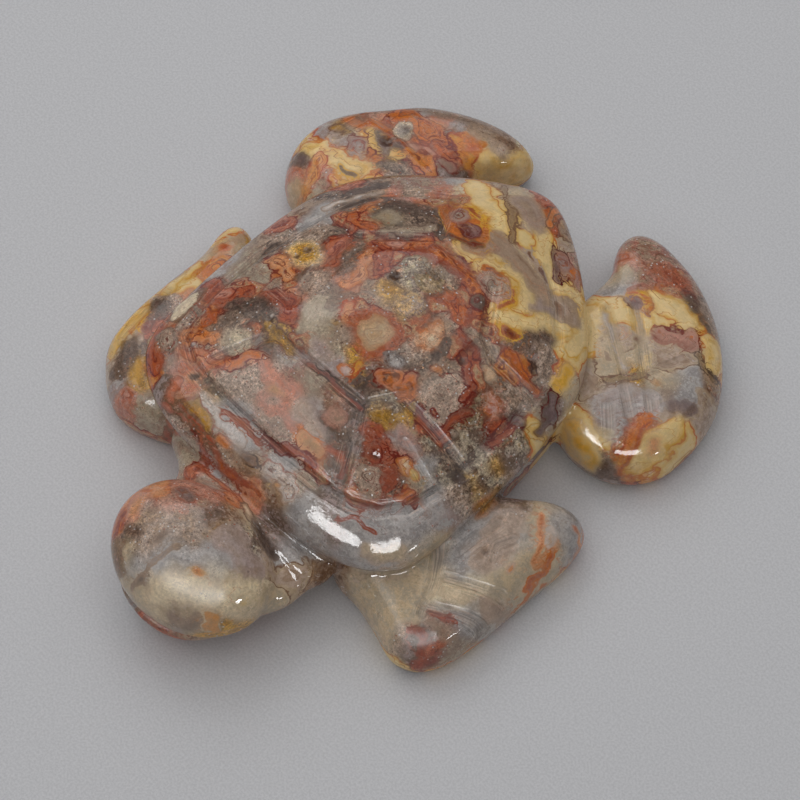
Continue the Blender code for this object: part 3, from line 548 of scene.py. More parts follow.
# Broad strokes below the orbs: half width, colours of the core, the middle, the rim and
# the outline, grain, which is negative for smooth wax, then the plan places that the
# stroke runs through.
BROAD_STROKES = [
    (1.9, "butter butter yellow orange", -0.3, (-9.5, 32.5), (-5.5, 30), (-1.5, 28.8),
        (1.2, 27.6)),
    (1.7, "butter butter yellow orange", -0.3, (5.2, 33.4), (7.6, 31), (10.5, 29), (13.6, 27.4),
        (16.4, 29.6), (19, 29.6)),
    (1.6, "butter butter butter yellow", -0.3, (18.6, 31.5), (21.5, 28), (23, 24.5),
        (23.4, 21)),
    (1.3, "butter butter yellow orange", -0.3, (4.4, 17.6), (5.4, 20.6), (8.6, 22.4), (11.8, 21.8),
        (13.9, 19.6), (14.8, 16.6), (13.2, 14.2)),
    (1.7, "butter butter yellow orange", -0.3, (13, 14.6), (16.2, 16.6), (17.6, 19.4),
        (19.6, 22)),
    (2, "taupe taupe taupe milk", 0, (2.6, 25.2), (5.5, 24.9), (9, 24.6), (12.5, 23.6),
        (16, 23.8), (18.2, 25.2)),
    (1, "taupe taupe rose milk", 0, (3.8, 23), (2.6, 20.6), (0.6, 18.6)),
    (0.9, "lilac lilac taupe milk", 0, (14.2, 22.2), (15.4, 20.6), (16.6, 22.4)),
    (2.6, "taupe lilac taupe beige", 0, (-1.5, 35.5), (2.4, 34.2)),
    (1.5, "lilac rose rose maroon", 0, (10.2, 32.4), (13.2, 31.4)),
    (1.2, "rose rose taupe brick", 0.1, (14, 33), (15, 31.4)),
    (1.4, "slate smoke grey smoke", 0.6, (19.6, 18.4), (18.4, 15.2), (18.6, 12.6)),
    (1.3, "yellow yellow butter taupe", -0.3, (26, 17.6), (26.4, 14)),
    (1.4, "orange red_orange brick dark_red", 0.1, (-2, 14.8), (3, 15.2), (8, 14.6),
        (10.4, 12.2)),
    (1.6, "red_orange orange red_orange brick", 0.2, (3.2, 9.4), (7, 10), (10, 8.4)),
    (1.5, "peach peach orange dark_red", 0.1, (-22.8, -2.8), (-19.6, -3.4), (-17.4, -4.8)),
    (1.8, "brick red_orange brick dark_red", 0.1, (-16.8, -9.6), (-13.4, -8.6), (-11.6, -10.6)),
    (1.6, "red_orange brick red_orange dark_red", 0.2, (-28.6, -12.2), (-25.6, -13.6),
        (-22.4, -14.2), (-20.6, -11)),
    (1.1, "red_orange red_orange orange dark_red", 0.1, (-23.2, -16.2), (-21.8, -17.8),
        (-21.6, -19.6)),
    (1.3, "orange peach orange dark_red", 0.1, (-24.2, -22.2), (-21.4, -21), (-19, -20.4)),
    (1.8, "slate slate smoke umber", 0.8, (-20, -14), (-17.6, -12.4), (-14.6, -12.6)),
    (1.3, "slate smoke grey umber", 0.7, (-20, -16), (-19.6, -18.4)),
    (2.5, "milk milk grey pink", 0.8, (-12.4, -23.6), (-8.4, -22.2), (-6.2, -21.2)),
    (1.4, "salmon pink pink salmon", 0.1, (-7.6, -19.2), (-3.6, -19), (0, -19.2)),
    (1.3, "pink salmon pink salmon", 0.1, (-5.2, -22.6), (-2, -23.4), (2, -22.8), (5, -22.6)),
    (1.7, "slate slate smoke umber", 0.2, (6.4, -10.4), (7.2, -12.2)),
    (2, "smoke slate smoke umber", 0.25, (6.6, -19.4), (10.4, -20.4), (11.8, -23.6)),
    (1.8, "milk milk lilac milk", 0.2, (1.2, -19.8), (3.6, -21), (5.6, -22)),
    (1.1, "white white milk tan", 0.1, (-13.8, -28.4), (-9, -28.6), (-3.6, -29.2)),
    (1.4, "milk white milk brick", 0.3, (3, -29.2), (6.6, -29.4), (8.8, -30.4)),
    (1.2, "ochre ochre olive brick", 0.1, (-14, -30.2), (-11.4, -30), (-9.4, -30.8)),
    (1.1, "salmon salmon brick brick", 0, (-18.6, -28.6), (-17.6, -31.2)),
    (1.2, "beige cream_grey milk taupe", 0.1, (24, -29.4), (26.8, -27.6), (28.4, -25)),
    (0.9, "red_orange brick red_orange dark_red", 0.1, (-29.6, -21.8), (-29.2, -24.6),
        (-27, -27.8), (-24.4, -28.6)),
    (0.8, "ochre olive ochre brown", 0.5, (-12.8, -14.2), (-9.4, -13.6), (-6, -14.4)),
    (2.3, "cream_grey cream_grey cream_grey smoke", 0.2, (-8.8, -5.2), (-7.6, -8.6)),
    (1.4, "smoke haze_grey grey umber", 0.3, (-8.6, -2.4), (-6.4, -1.4), (-6.6, -4.6)),
    (1.5, "peach peach salmon red_orange", 0, (-4.4, -3), (-2.8, -4.4)),
    (4.3, "red_orange brick red_orange dark_red", 0.15, (1.8, -3.4), (2.2, -3.4)),
    (2, "orange orange salmon dark_red", 0, (8.4, -7.8), (11.2, -7.2)),
    (1.1, "orange orange salmon dark_red", 0, (11.4, -5.6), (12.6, -8)),
    (1.2, "brick red_orange brick dark_red", 0.15, (12.8, -16.4), (15.2, -16.2), (18.6, -17.4),
        (20.2, -19.4)),
    (1.3, "ochre olive ochre umber", 0.4, (11.6, -13.6), (13.6, -12.2)),
    (1.8, "slate slate smoke umber", 0.5, (-10.6, 20.6), (-7.4, 21.6), (-4.6, 19)),
    (2.2, "slate slate smoke smoke", 0.3, (-17, 18), (-13, 19)),
    (1, "cream_grey grey smoke umber", 0.3, (-11.4, 12.8), (-8.4, 15.6), (-6.2, 18.2)),
    (1.6, "orange red_orange brick dark_red", 0.1, (-9.4, 10.4), (-6.6, 12.4), (-5, 15)),
    (0.9, "red_orange orange peach dark_red", 0.1, (-18.2, 17.2), (-18, 14), (-19.4, 11.4)),
    (0.9, "red_orange orange red_orange dark_red", 0.1, (-18.4, 12.2), (-16.6, 10.6),
        (-13.6, 11.6)),
    (2.2, "brick salmon red_orange dark_red", 0, (-14.8, 5.6), (-14, 2.2)),
    (1.2, "slate grey slate brown", 0.8, (-12.2, 7.4), (-11.6, 4.6), (-10, 2), (-9.6, 0.8)),
    (0.9, "peach salmon orange brick", 0.1, (-10, 6.8), (-8.6, 4.2), (-7, 1.6), (-8.4, 0)),
    (1.4, "brick red_orange brick dark_red", 0.2, (-7.4, 7.6), (-5.8, 5.6)),
    (1.4, "slate slate slate umber", 0.2, (-23.6, 17), (-21.2, 21.2)),
    (1.1, "slate slate slate umber", 0.2, (-21, 13.6), (-19.2, 17.2)),
    (1.6, "brick salmon brick rose", 0.4, (21.6, 45.8), (24, 46.4), (26.4, 46.8)),
    (1, "maroon dark_red violet violet", 0.2, (27.4, 45.8), (30.6, 44.8)),
    (1.2, "slate smoke slate violet", 0.2, (28.6, 44.6), (33, 43.6), (36.8, 43.4)),
    (1.4, "grey milk grey beige", 0.5, (31, 46.8), (35.4, 44.8)),
    (1.9, "butter butter yellow orange", -0.3, (24.8, 41.4), (29, 41), (32.4, 41.8)),
    (1.9, "butter yellow butter orange", -0.3, (36.6, 41.6), (39.6, 39.4)),
    (1.6, "rose pink rose dark_red", 0, (30.4, 37), (33.4, 39.4), (34.6, 38.4)),
    (2.4, "pearl lilac pearl taupe", 0, (33, 19.6), (35.6, 22.4), (37, 25.6)),
    (1.4, "lilac pearl lilac grey", 0, (31.6, 22), (33.4, 24.4)),
    (2.3, "butter butter yellow orange", -0.3, (43, 25.4), (42.6, 21), (42, 17.6)),
    (0.7, "orange amber salmon red_orange", 0, (38.8, 23.6), (38.8, 20), (40.2, 16.8)),
    (1.5, "smoke slate smoke taupe", 0.2, (38.4, 12.6), (42, 13.2)),
    (1.4, "yellow butter beige beige", -0.3, (31, 14), (33.4, 12.8), (36.4, 12.6)),
    (1.2, "violet smoke violet taupe", 0.2, (40, 28), (42.4, 29.8)),
    (1.6, "grey smoke grey smoke", 0.3, (-36, 37), (-31, 41.6), (-25, 45.2), (-18, 47.8)),
    (0.9, "brown umber brown taupe", 0.2, (-17.6, 45.4), (-14.4, 47.4)),
    (2.4, "butter yellow butter yellow", -0.3, (-10.8, 46.6), (-12.2, 43.6), (-15.2, 40.8)),
    (1.3, "taupe milk taupe beige", 0.2, (-19.6, 43.6), (-15.4, 45)),
    (1, "orange yellow orange red_orange", 0, (-22.6, 40.4), (-19, 39.8), (-16.4, 38.6)),
    (2.4, "orange red_orange orange dark_red", 0.1, (-31.6, 37.4), (-27.4, 38.8), (-23.4, 37.4)),
    (1.8, "red_orange orange brick dark_red", 0.1, (-22, 36.4), (-19.6, 36)),
    (1.2, "orange amber orange dark_red", 0.1, (-26, 33.4), (-22.6, 33.2), (-19.6, 32.2)),
    (1.2, "yellow butter yellow dark_red", -0.3, (-33.2, 31.4), (-29.6, 29.6), (-26.6, 31)),
    (0.9, "slate slate slate umber", 0.2, (-31.6, 31.8), (-29.4, 31.2), (-27.4, 32.6)),
    (1.7, "lilac violet rose dark_red", 0, (-33, 27.8), (-31, 25.6)),
    (1.1, "violet slate violet umber", 0.2, (-29.8, 31.4), (-28.2, 29.8)),
    (1.2, "orange red_orange orange dark_red", 0.1, (-28.4, 28), (-27, 26)),
    (1.3, "milk lilac taupe brown", 0, (-37.4, 27.4), (-36.4, 25.6)),
    (0.8, "ochre ochre brown brown", 0.1, (-39, 27.6), (-37.4, 28.8)),
    (1.2, "orange brick orange brown", 0, (-38.4, 31.4), (-35.4, 32)),
    (1.7, "butter yellow butter orange", -0.3, (-38.6, 22.4), (-34, 22), (-30.4, 23.2),
        (-28.6, 25)),
    (1.1, "amber peach orange red_orange", 0, (-35.6, 21.4), (-34.8, 18), (-33.2, 14.4)),
    (1, "beige tan beige taupe", 0, (-36.4, 15.4), (-34, 12.6)),
    (1.2, "taupe tan taupe beige", 0, (-35.4, 1.6), (-36, -4)),
    (0.8, "butter yellow butter orange", -0.3, (-37.4, 3), (-38, -1.6)),
    (1.1, "butter butter yellow orange", -0.3, (-36.8, -8), (-36.2, -12), (-36, -16)),
    (0.8, "lilac lilac milk yellow", 0, (-38, -10.6), (-38, -13.4)),
    (1.6, "slate smoke slate umber", 0.5, (-35.6, -18.4), (-34.4, -20.6)),
    (1.3, "yellow butter yellow orange", -0.3, (-37.8, -21), (-36.8, -25), (-35.6, -29)),
    (2.2, "slate smoke umber brown", 0.5, (-32.6, -27.6), (-31.6, -30.6)),
    (1, "ochre yellow ochre olive", 0.1, (-29.4, -28.6), (-28, -31)),
    (2.6, "milk grey milk milk", 0.1, (35, -6), (37, -9.6), (37.4, -14.6)),
    (0.6, "peach orange peach tan", 0.1, (42.6, -3.4), (43.4, -6.4), (43.6, -8.8)),
    (1.2, "milk white milk peach", 0, (41, -2.6), (41.6, -4.6)),
    (1.3, "ivory beige beige taupe", 0, (36, -23.6), (39, -21.8)),
    (1.5, "grey milk grey milk", 0, (42, -20), (44, -18.4)),
    (1.2, "grey milk grey smoke", 0.2, (38.4, -28.6), (41.6, -28.4)),
    (0.9, "dark_red brick maroon brown", 0.2, (41.4, -33.6), (43.6, -30.4)),
    (0.9, "gold_brown orange taupe taupe", 0.3, (31, -7), (31, -10)),
    (2, "pink salmon rose brown", 0.4, (-7, -41.5), (-3, -39.6), (1, -38.6)),
    (2, "peach peach orange salmon", 0.1, (-9.6, -43.6), (-7.4, -45)),
    (1.3, "orange peach orange orange", 0, (-11.4, -47), (-11, -49.6)),
    (1.7, "peach pink pink salmon", 0.2, (-8.4, -48), (-6.6, -50.4)),
    (1.6, "pink milk pink grey", 0.4, (-3.6, -45.6), (-1.4, -44.6)),
    (1.2, "violet smoke rose brick", 0.2, (-4, -42.6), (-1.6, -42.2)),
    (0.9, "umber brown smoke smoke", 0.9, (-5.6, -53), (-3.4, -52.6)),
    (0.9, "gold_brown brown olive smoke", 0.5, (5.4, -45), (6, -42.8)),
    (2.6, "lilac grey lilac milk", 0.1, (8.6, -43.6), (12.6, -44)),
    (2, "ivory ivory beige milk", 0.1, (15.6, -46.4), (13.8, -51), (9.4, -54), (5, -56.8)),
    (1.3, "haze_grey grey grey beige", 0.1, (9.4, -58.2), (12.6, -57)),
    (0.6, "amber tan amber beige", 0, (13.4, -55.4), (14.4, -54)),
    (0.8, "brick dark_red brick orange", 0, (-8.8, -51.4), (-7.6, -54.6)),
    (1.6, "brown olive brown beige", 0.3, (-5.8, -56), (-3, -58.4)),
    (1.2, "peach salmon orange brick", 0, (1, -36.6), (2.8, -38)),
    (1.4, "grey milk grey smoke", 0.3, (-6, -36.4), (-3, -35.4)),
    (1.4, "slate slate smoke grey", 0.2, (8, -37.6), (12, -38.4)),
]

# Fine strokes above the orbs: veins, scratches and thin lines, in the same order of values.
FINE_STROKES = [
    (0.45, "olive brown taupe brown", 0, (-7, 37), (-4, 34), (-1, 32), (1.8, 29.4),
        (4, 27.4)),
    (0.35, "maroon maroon violet milk", 0, (6.8, 28.6), (9, 27.8), (11.4, 27.1), (12.8, 26.3)),
    (0.6, "brown brown taupe taupe", 0, (6, 26.4), (10.4, 25.6)),
    (0.7, "brown brown taupe milk", 0, (15.8, 24.8), (17.4, 23.8), (18.6, 23.6)),
    (0.3, "milk milk taupe taupe", 0, (16.2, 26.8), (17.4, 28.2), (19.2, 27), (19.8, 24.6),
        (19, 22.8)),
    (0.35, "maroon dark_red maroon brown", 0, (-2.6, 19.7), (0.2, 19.9), (2.2, 21.3)),
    (0.35, "dark_red brick orange yellow", 0, (-8.8, 26.2), (-6.6, 27.2), (-3.6, 26.4),
        (-1.2, 25.4)),
    (0.35, "maroon maroon brick orange", 0, (5.2, 18), (6.2, 19.8), (7.9, 20.6)),
    (0.4, "brick red_orange orange yellow", 0, (10.4, 20), (12.3, 18.8), (12.5, 16.8),
        (11.6, 15.2)),
    (0.5, "maroon violet violet maroon", 0, (8.4, 32.3), (10.3, 30.5), (12.2, 29.3),
        (13.6, 28.7)),
    (0.6, "orange orange peach brown", 0, (2.6, 39.8), (3.4, 37.4), (4.6, 35.8)),
    (0.6, "red_orange orange orange brick", 0.1, (19, 10.8), (22.6, 10.4), (25.2, 10.6)),
    (0.7, "violet violet slate maroon", 0.1, (27.2, 12.4), (28.4, 10.4), (29.6, 6.4)),
    (0.4, "brick dark_red brick brick", 0, (-4, 13.4), (0, 13.2), (3.6, 14)),
    (0.5, "red_orange brick dark_red dark_red", 0.1, (11, 7), (13.2, 6.6), (15, 7.2),
        (15.8, 5.8)),
    (0.6, "red_orange brick brick dark_red", 0.1, (14, 4.9), (16.2, 2.6), (19, 1.5),
        (19.3, -0.6)),
    (0.5, "brick red_orange brick dark_red", 0.1, (26.8, 3), (26.2, 0), (25.4, -1.6)),
    (0.5, "brick brick dark_red umber", 0.1, (-3, -14), (1, -13.9), (5, -13.7),
        (8.4, -13.9)),
    (0.6, "red_orange brick dark_red dark_red", 0.1, (21.4, -1.2), (20.6, -4), (20.9, -6.4),
        (19, -8), (16, -8.6)),
    (0.4, "dark_red brick brick brick", 0, (19.6, -18.8), (20.2, -21), (21.4, -22.6),
        (20, -24.4)),
    (0.5, "brick red_orange dark_red dark_red", 0, (-1, -26.3), (3, -26), (9, -25.8)),
    (0.6, "orange peach red_orange brick", 0, (23.8, -17.8), (22.8, -20.2)),
    (0.25, "brick red_orange brick brick", 0, (17.6, -28.4), (20.6, -26.6), (23.4, -26.2)),
    (0.5, "red_orange brick salmon brick", 0, (9.4, -22.6), (12, -22.2), (13.4, -24)),
    (0.8, "orange orange salmon dark_red", 0, (-9.9, -18.3), (-11.6, -19.4), (-12.8, -21.4),
        (-14.6, -22.8)),
    (0.6, "salmon orange salmon brick", 0, (-14.6, -22.8), (-18.4, -23.8), (-22, -24.4)),
    (0.35, "umber dark_red brown brown", 0, (-28.2, -13.4), (-27, -16), (-26.8, -18.6),
        (-27.6, -20.8)),
    (0.5, "grey slate grey brick", 0.5, (-26.4, -17), (-23.6, -17.4)),
    (0.5, "salmon brick brick brown", 0, (-19, -32.8), (-12, -32.2), (-5, -33.2),
        (2, -34)),
    (0.4, "red_orange brick brick brown", 0, (-16, -30.8), (-12, -31.9), (-7, -32.4)),
    (0.5, "red_orange orange brick brick", 0, (-8.4, -27.4), (-3.4, -27.2), (-0.6, -28)),
    (0.4, "white milk milk grey", 0, (-24.4, 10.8), (-21.6, 16.6), (-19.6, 20.4)),
    (0.35, "maroon dark_red brick rose", 0, (29.2, 35.6), (31.6, 35.5), (32.6, 37.2),
        (34.2, 37.6)),
    (0.4, "orange red_orange orange yellow", 0, (20.8, 37.8), (21.6, 39.2), (23.4, 39.8),
        (24.8, 39)),
    (0.3, "brick brick rose rose", 0, (20.4, 39), (21.2, 41), (23, 41.8)),
    (0.45, "white white milk beige", 0, (20.8, 32.4), (24.6, 30.4), (29.6, 27)),
    (0.35, "milk milk beige beige", 0, (24.4, 36.2), (28, 34), (32.4, 31)),
    (0.5, "olive tan olive brown", 0.3, (33.6, 28.6), (31.6, 26.2), (29.8, 22.8)),
    (0.35, "yellow yellow butter butter", -0.3, (30.8, 31.2), (32.2, 29.8), (31.8, 28.2)),
    (0.5, "brown taupe taupe beige", 0, (23.4, 28.4), (27, 26.6)),
    (0.3, "red_orange brick red_orange orange", 0, (38.6, 24.4), (39.8, 22.6), (39.7, 20.2),
        (41, 17.6), (41.6, 15.2)),
    (0.4, "brown brown olive umber", 0.2, (36.4, 37.6), (39.4, 37), (42.2, 37.8)),
    (0.4, "pink peach salmon orange", 0, (-34.6, 33.4), (-31.4, 33.8)),
    (0.4, "pink salmon pink brick", 0, (-26.8, 34.2), (-22, 35.2)),
    (0.4, "umber brown umber yellow", 0, (-31.8, 22), (-29, 23)),
    (0.4, "red_orange orange yellow yellow", 0, (-36.4, -20.6), (-35.8, -22.6), (-34.6, -23.8)),
    (0.5, "brown taupe grey grey", 0, (36, -12.6), (36.6, -15)),
    (0.45, "orange red_orange orange peach", 0, (37.8, -1), (39, -3), (41, -6),
        (43, -9)),
    (0.35, "red_orange red_orange orange orange", 0, (43.8, -5.4), (45, -8.6), (45.2, -12),
        (45.1, -15.4)),
    (0.45, "maroon dark_red brick brick", 0, (37.2, -27.2), (39.4, -26.2), (41, -25.6)),
    (0.6, "dark_red brick red_orange brick", 0.1, (37, -31.8), (39, -31.2), (41, -33.2)),
    (0.3, "red_orange dark_red orange peach", 0, (43.2, 1.4), (44.6, 0.4)),
    (0.3, "slate smoke grey grey", 0, (2.8, -51), (2.2, -54.6), (1.2, -58.4)),
    (0.35, "smoke smoke grey grey", 0, (0.4, -50.4), (0, -52.6)),
    (0.35, "salmon orange salmon brick", 0, (-7, -34.8), (-2, -35.7), (2.4, -35.8)),
    (0.35, "orange red_orange brick brick", 0, (-5, -33.2), (0, -34), (4.4, -33.8)),
    (0.6, "ivory cream_grey smoke smoke", 0.1, (3.8, -35.8), (6.6, -37.8)),
]

# Grounds and orbs of the sides and the belly, which the photograph doesn't show, are drawn
# by chance: how many, on faces turned how far from the camera (the cosine of the angle
# lies below this), how wide the orbs are in millimetres, and how narrow for that.
CHANCE_SEED = 41
CHANCE_GROUNDS = 170
CHANCE_ORBS = 260
CHANCE_FACING = -0.35
CHANCE_SIZES = (0.8, 3.0)
CHANCE_NARROWING = (0.6, 1.0)
CHANCE_LOOKS = [
    ("milk grey smoke slate", 0.5), ("beige tan salmon dark_red", 0.1),
    ("orange orange peach dark_red", 0.0), ("ivory butter yellow orange", 0.0),
    ("slate smoke grey umber", 0.4), ("pink rose brick dark_red", 0.1),
    ("lilac milk taupe brown", 0.0), ("white milk grey smoke", 0.3),
    ("dark_red red_orange orange umber", 0.0), ("ochre olive cream_grey umber", 0.4),
]
CHANCE_GROUND_LOOKS = [
    "lace", "ember", "brickwork", "blush", "speckle", "quartz", "moss", "milky", "mist",
    "cloud", "haze", "cream", "custard", "sand", "tawny",
]

# Melting of two neighbouring grounds: how much of the lesser width and of the product of
# both widths goes into its own, and how ragged and how fine its line is.
MELT_OF_LESSER = 0.7
MELT_OF_BOTH = 0.3
RAGGED = 0.9
RAGGED_FINENESS = 1.4

# How sharp the line of the crisper ground is drawn, by its melting width in millimetres.
SHARP_MOST = 1.25
SHARP_WIDTH = 0.7

# A place of the plan lies as high as the highest point within the first distance, or
# within the second where there is no nearer one, millimetres.
HEIGHT_REACH = 1.2
OFF_SKIN_REACH = 6.0

# Half the height of an orb: this many times its smaller half size, and so much more.
ORB_DEPTH = 1.3
ORB_DEPTH_MORE = 1.0

# The edge of an orb or stroke: how many millimetres a crisp and a blunt one take to fade
# out, and at most which share of the half width. Then how far the edge wanders and over
# what length, and from which half width on fully, how well each kind of mark covers, and
# how much of the wandering the orbs take part in.
CRISP_EDGE = 0.10
BLUNT_EDGE = 0.55
WIDEST_EDGE = 0.8
EDGE_WANDER = [(0.8, 2.2), (0.5, 0.9)]
WANDER_HALF = 1.4
BROAD_COVER = 0.92
ORB_COVER = 0.95
FINE_COVER = 0.95
ORB_WANDER = 0.45

# From where to where in a mark its core turns into its middle, and that into its rim.
CORE_TO_MIDDLE = (0.0, 0.6)
MIDDLE_TO_RIM = (0.45, 1.0)

# The pale patches of a mark: the core's share in them, and how much paler they are.
PALE_OF_CORE = 0.4
PALER = 1.12

# How far from a mark's outline its colour and sharpness are known, and how far fully.
OUTLINE_REACH = 1.1
OUTLINE_FULL = 0.4

# The band beside a crisp line where both sides keep their own colour, the share of it
# where they do so fully, and the two values of sharpness between which lines turn crisp.
EDGE_BAND = 1.0
EDGE_FULL = 0.6
EDGE_SHARPNESS = (0.2, 0.5)

# Marks of a smaller half width count as thin and are drawn at least this sharply.
THIN = 0.9
THIN_SHARPNESS = 0.7

# How strongly a mark is banded: most of them, and the broad ones with a red outline.
MARK_BANDING = 0.3
RED_BANDING = 0.75
RED_OUTLINES = ("dark_red", "brick", "maroon", "red_orange")

# How often neighbouring points share their colours: everywhere, and where nothing is
# crisp, which the sharpness decides.
MELT_ALL = 1
MELT_BLUNT = 2
MELT_SHARPNESS = (0.2, 0.6)

# How far noise shifts the pattern, and how far it bends over, millimetres, with the share
# of that shift that the marks follow. noise_vector draws from the clock unless seeded.
WARPS = [(1.5, 6.0), (0.9, 2.4), (0.35, 1.0)]
ORB_WARP = 0.7
WARP_SEED = 3

# Strokes stop where the skin's upward share falls below this, by being put far off.
STROKE_LOWEST = 0.0
FAR_OFF = 9.0

# Noise of the shader: size of its lumps in millimetres, detail and roughness.
NOISES = {
    "broad": (7.0, 3.0, 0.5),
    "middle": (2.0, 4.0, 0.5),
    "fine": (0.6, 4.0, 0.6),
    "dust": (0.35, 3.0, 0.8),
    "bands": (0.62, 2.0, 0.6),
    "threads": (0.9, 0.0, 0.5),
    "mottle": (2.6, 5.0, 0.65),
    "veil": (0.12, 2.0, 0.5),
    "rust": (0.35, 3.0, 0.6),
    "streaks": (0.34, 2.0, 0.7),
    "bundles": (4.0, 1.0, 0.5),
    "stain": (1.1, 5.0, 0.7),
    "speck": (0.09, 1.0, 0.5),
}
CRUMB_SIZE = 0.5

# Smooth steps of the shader: the values between which each runs, and its results at both
# if these aren't 0 and 1.
STEPS = {
    "calm": (-0.25, 0.05, 0.3, 1.0),
    "lacy": (0.1, 0.8, 0.0, 0.8),
    "pale band": (-0.05, 0.05),
    "edge band": (0.10, 0.17, 0.0, 0.85),
    "deep band": (-0.17, -0.08, 1.0, 0.0),
    "deeper where banded": (0.0, 1.0, 0.3, 0.85),
    "thread": (0.01, 0.05, 1.0, 0.0),
    "side of the line": (-0.05, 0.05, 1.0, 0.0),
    "crisp": (0.2, 0.8),
    "fading": (-0.16, 0.02, 0.25, 1.0),
    "glow": (0.15, 0.8, 0.7, 0.0),
    "far echo": (0.04, 0.14, 0.8, 0.0),
    "near echo": (0.03, 0.12, 0.6, 0.0),
    "outline": (0.05, 0.20, 1.0, 0.0),
    "iron": (0.02, 0.25, 0.0, 0.4),
    "soot": (-0.28, -0.06, 0.4, 0.0),
    "sooty grain": (0.05, 0.35, 0.3, 1.0),
    "crumb light": (0.0, 1.0, -0.28, 0.24),
    "scratch bundle": (-0.15, 0.1),
    "worn bundle": (-0.1, 0.15),
    "pale scratch": (0.04, 0.13, 0.0, 0.6),
    "veil": (-0.02, 0.2),
    "veiled bands": (0.05, 0.4),
    "stony": (0.04, 0.30),
    "stain": (0.15, 0.20),
    "speck": (0.12, 0.18),
    "dot": (0.18, 0.42, 1.0, 0.0),
    "dotted grain": (0.06, 0.35),
    # The few crumbs that are painted white as glints.
    "painted_glint": (0.92, 0.93),
    "dark crumb": (0.13, 0.14, 1.0, 0.0),
    "red crumb": (0.95, 0.96),
    "mouth": (0.75, 0.97, 0.0, 0.95),
    "dull cut": (0.0, 0.4),
    "dull scuff": (0.1, 0.5),
}

# How strongly each tint shows at most: the stone's own, the painted glints and the
# painted shade in the pits.
VEIL_SHARE = 0.22
WORN_SHARE = 0.3
STAIN_SHARE = 0.6
SPECK_SHARE = 0.65
PAINTED_GLINT_SHARE = 0.9
DARK_CRUMB_SHARE = 0.7
RED_CRUMB_SHARE = 0.6
PIT_SHADE_SHARE = 0.75

# How far the middle and the fine noise shift the bands and the crisp lines, millimetres,
# and how much the fine noise adds to the mottling.
BAND_WOBBLE = (0.7, 0.22)
LINE_WOBBLE = (0.5, 0.25)
MOTTLE_WOBBLE = 0.4

# How quickly bands and threads change along their way. The shifts only give each noise a
# place of its own.
BAND_CHANGE = 5.0
THREAD_CHANGE = 3.0
THREAD_SHIFT = 9.0
RUST_SHIFT = 5.0
VEIL_SHIFT = 31.0

# The values of the noise at which a thread runs, with its colour, and how far the two
# echoes of a crisp line lie from it, millimetres.
THREADS = [(0.09, "pale"), (-0.07, "outline")]
FAR_ECHO = 1.2
NEAR_ECHO = 0.55

# How much the middle noise changes the grain, and the least and most grain.
GRAIN_CLOUDS = 0.9
GRAIN_LEAST = 0.03
GRAIN_MOST = 1.0

# How strongly noises brighten and darken the stone: by the grain, and where it is calm.
DUST_LIGHT = (3.4, 0.5)
FINE_LIGHT = (1.3, 0.4)
MIDDLE_LIGHT = (0.7, 0.3)
BROAD_LIGHT = 0.4
SCRATCH_LIGHT = 3.8
# How much the carved lines darken, as painted shade and dirt in them.
CUT_SHADE_AND_DIRT = -0.16

# Scratches are drawn out along the carved line, and their bundles across it.
STREAK_STRETCH = 0.03
BUNDLE_STRETCH = 0.3

# Roughness: of the polished stone, and what the grain, cuts, scratches and noise add.
POLISHED = 0.05
GRAIN_DULLNESS = 0.09
CUT_DULLNESS = 0.34
SCUFF_DULLNESS = 0.2
FINE_DULLNESS = 0.06

# How strongly the stone bends light, and how the light that enters it is scattered.
SURFACE = {
    "IOR": 1.55, "Subsurface Weight": 0.12, "Subsurface Radius": (1.0, 0.6, 0.4),
    "Subsurface Scale": 0.002,
}

# How far crumbs, scratches, soft lumps and the painted glints stand out, millimetres.
CRUMB_RELIEF = -0.03
SCRATCH_RELIEF = 0.16
LUMP_RELIEF = 0.05
PAINTED_GLINT_RELIEF = -0.05

# The floor: half its side, its shades in sRGB, the noise of its grain and its bump.
FLOOR_HALF = 1.5
FLOOR_SHADES = [(205, 205, 208), (219, 219, 222)]
FLOOR_ROUGHNESS = 0.6
FLOOR_NOISE = (0.4 * MM, 2.0, 0.6)
FLOOR_STEP = (-0.2, 0.2)
FLOOR_RELIEF = 0.04 * MM

# The photograph's camera. Azimuth 0 looks from -y and 90 from +x.
VIEW_AZIMUTH = 44.0
VIEW_ELEVATION = 62.0
VIEW_DISTANCE = 0.6
VIEW_TARGET = (0.005421, 0.000551, 0.01165)
SENSOR = 36.0
LENS = 161.97
CLIP_START = 0.01
CLIP_END = 10.0

# Lights: azimuth, elevation, distance, width and height, watts, whether it lights the
# surfaces and whether it is mirrored in them.
LIGHTS = [
    ("back_box", 165.0, 60.0, 0.9, (0.7, 0.7), 0.8, True, True),
    ("back_left_box", -125.0, 48.0, 0.9, (0.6, 0.5), 1.05, True, True),
    ("left_box", -78.0, 48.0, 0.75, (0.6, 0.5), 0.6, True, True),
    ("top_fill", -5.0, 77.0, 1.0, (1.6, 1.6), 4.3, True, False),
    ("window", -28.0, 46.0, 0.9, (0.7, 0.36), 0.8, False, True),
    ("front_box", 4.0, 43.0, 0.9, (0.40, 0.18), 2.7, False, True),
    ("near_box", 51.0, 41.0, 0.9, (0.46, 0.24), 3.9, False, True),
    ("side_glint", 86.0, 16.0, 0.9, (0.10, 0.06), 0.4, False, True),
]
WORLD_GREY = 0.5
WORLD_STRENGTH = 0.28


